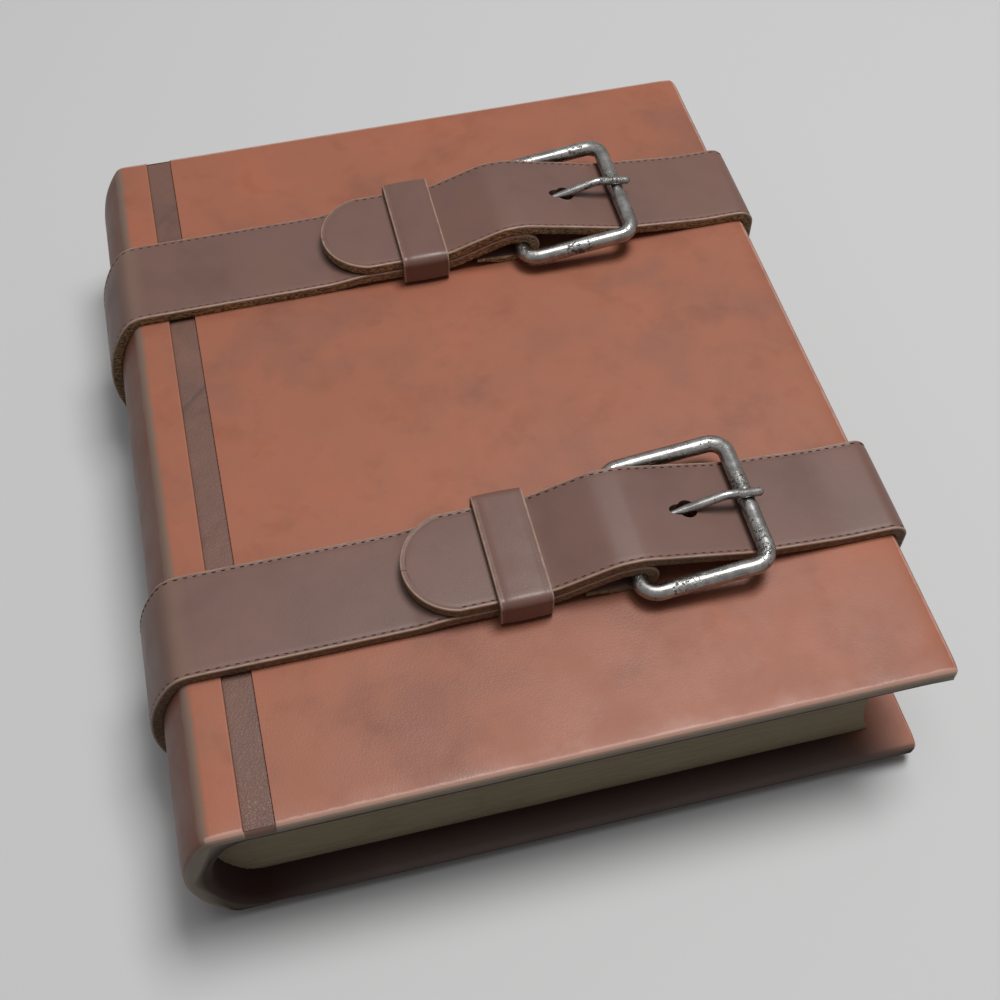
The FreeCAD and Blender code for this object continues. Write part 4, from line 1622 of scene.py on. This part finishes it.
# %% [markdown]
# Paper
#
# The edges of old pages are brown-grey. One even tone would make them a block of wood. So each
# layer has its own tone, which the mesh carries as a number from 0 to 1, and a stretched noise
# draws the finest leaves between the modelled ones.

# %% Material: paper
def paper_material():
    material, b, shader = start_material("old_paper")
    place = b.add("ShaderNodeTexCoord").outputs["Object"]
    layers = b.add("ShaderNodeMapping", {"vector_type": "POINT"}, Vector=place)
    layers.inputs["Scale"].default_value = (0.02, 0.02, 1.0)
    fine = b.noise(layers.outputs[0], 3800.0, 3.0, 0.7)
    stain = b.noise(place, 40.0, 4.0, 0.6)
    colour = b.mix(b.ramp(fine, 0.35, 0.65), rgb(168, 152, 124), rgb(192, 176, 148))
    colour = b.mix(b.math("MULTIPLY", mark(b, "leaf"), 0.45), colour, rgb(180, 164, 136))
    colour = b.mix(b.math("MULTIPLY", b.ramp(stain, 0.5, 0.75), 0.5), colour, rgb(150, 128, 102))
    b.set(shader, "Base Color", colour)
    shader.inputs["Roughness"].default_value = 0.85
    bump(b, shader, fine, 0.0002, 0.6)
    return material


paper_finish = paper_material()
dress(pages, paper_finish)
print("paper nodes:", len(paper_finish.node_tree.nodes))

# %% [markdown]
# Worn steel
#
# The wire is steel whose bright skin has dulled and pitted. Pits are dark, rough and sunk, and
# gather in patches. One noise would spread them evenly, so a fine and a coarse one are added, and
# only their peaks are pits. The rest is a soft metal shine that changes in roughness.

# %% Material: worn steel
def steel_material():
    material, b, shader = start_material("worn_steel")
    place = b.add("ShaderNodeTexCoord").outputs["Object"]
    patch = b.noise(place, 110.0, 3.0, 0.6)
    pits = b.noise(place, 1000.0, 3.0, 0.7)
    peaks = b.math("ADD", b.math("MULTIPLY", pits, 0.7), b.math("MULTIPLY", patch, 0.55))
    deep = b.ramp(peaks, 0.69, 0.755)
    haze = b.noise(place, 300.0, 4.0, 0.6)
    metal = b.mix(b.ramp(haze, 0.3, 0.7), rgb(142, 140, 137), rgb(174, 172, 169))
    b.set(shader, "Base Color", b.mix(b.math("MULTIPLY", deep, 0.85), metal, rgb(60, 57, 54)))
    shader.inputs["Metallic"].default_value = 1.0
    rough = b.ramp(haze, 0.3, 0.7, 0.22, 0.33)
    b.set(shader, "Roughness", b.math("ADD", rough, b.math("MULTIPLY", deep, 0.3)))
    height = b.math("ADD", b.math("MULTIPLY", haze, 0.4), b.math("MULTIPLY", deep, -0.8))
    bump(b, shader, height, 0.00010, 0.5)
    return material


steel_finish = steel_material()
for place in STRAP_PLACES:
    dress(buckles[place], steel_finish)
    dress(prongs[place], steel_finish)
print("steel nodes:", len(steel_finish.node_tree.nodes))

# %% [markdown]
# Floor and light
#
# The book lies on a plain pale floor under two large soft lamps. The strong one stands off towards
# the fore-edge and the head, and the weak one is almost straight above. A single small lamp would
# draw hard shadows: the lamps' size makes them soft, and the world fills them. To the camera and
# in shiny metal the floor and the world look paler than the light that they send on, so the
# background can be pale while the shadows stay deep.

# %% Floor
def seen_rays(b):
    """1 for rays from the camera or off something shiny, and 0 for scattered light."""
    rays = b.add("ShaderNodeLightPath")
    shiny = b.math("MAXIMUM", rays.outputs["Is Glossy Ray"], rays.outputs["Is Transmission Ray"])
    return b.math("MAXIMUM", rays.outputs["Is Camera Ray"], shiny)


def make_floor():
    mesh = bpy.data.meshes.new("floor")
    size = 6.0
    mesh.from_pydata([(-size, -size, 0), (size, -size, 0), (size, size, 0), (-size, size, 0)], [],
                     [(0, 1, 2, 3)])
    floor = bpy.data.objects.new("floor", mesh)
    bpy.context.scene.collection.objects.link(floor)
    material, b, shader = start_material("pale_floor")
    b.set(shader, "Base Color", b.mix(seen_rays(b), rgb(112, 112, 112), rgb(209, 209, 209)))
    shader.inputs["Roughness"].default_value = 0.6
    shader.inputs["Specular IOR Level"].default_value = 0.2
    mesh.materials.append(material)
    return floor


floor = make_floor()
print("floor:", floor.name)

# %% Lamps
def lamp(name, place, target, size, power):
    data = bpy.data.lights.new(name, "AREA")
    data.shape = "SQUARE"
    data.size = size
    data.energy = power
    light = bpy.data.objects.new(name, data)
    light.location = place
    light.rotation_euler = (Vector(target) - Vector(place)).to_track_quat("-Z", "Y").to_euler()
    bpy.context.scene.collection.objects.link(light)
    return light


key = lamp("soft_key", (0.40, 0.15, 1.5), (0.0, 0.0, 0.05), 0.55, 15.6)
fill = lamp("soft_fill", (0.0, -0.08, 1.6), (0.0, 0.0, 0.05), 0.7, 3.8)
print("lamps:", key.data.energy, "and", fill.data.energy, "watts")

# %% World
def studio_world():
    """Pale above and darker towards the horizon, as in a room with a lit ceiling."""
    world = bpy.data.worlds.new("studio")
    world.use_nodes = True
    tree = world.node_tree
    b = Bench(tree)
    way = b.add("ShaderNodeTexCoord").outputs["Generated"]
    split = b.add("ShaderNodeSeparateXYZ", None, Vector=way)
    diffuse = b.ramp(split.outputs["Z"], -0.1, 1.0, 0.01, 0.22, smooth=False)
    shown = b.ramp(split.outputs["Z"], -0.1, 1.0, 0.28, 0.60, smooth=False)
    seen = seen_rays(b)
    level = b.math("ADD", b.math("MULTIPLY", shown, seen),
                   b.math("MULTIPLY", diffuse, b.math("SUBTRACT", 1.0, seen)))
    tree.links.new(level, tree.nodes["Background"].inputs["Strength"])
    tree.nodes["Background"].inputs["Color"].default_value = (1.0, 1.0, 1.0, 1.0)
    return world


bpy.context.scene.world = studio_world()
bpy.context.scene.view_settings.view_transform = "Standard"
print("world:", bpy.context.scene.world.name)
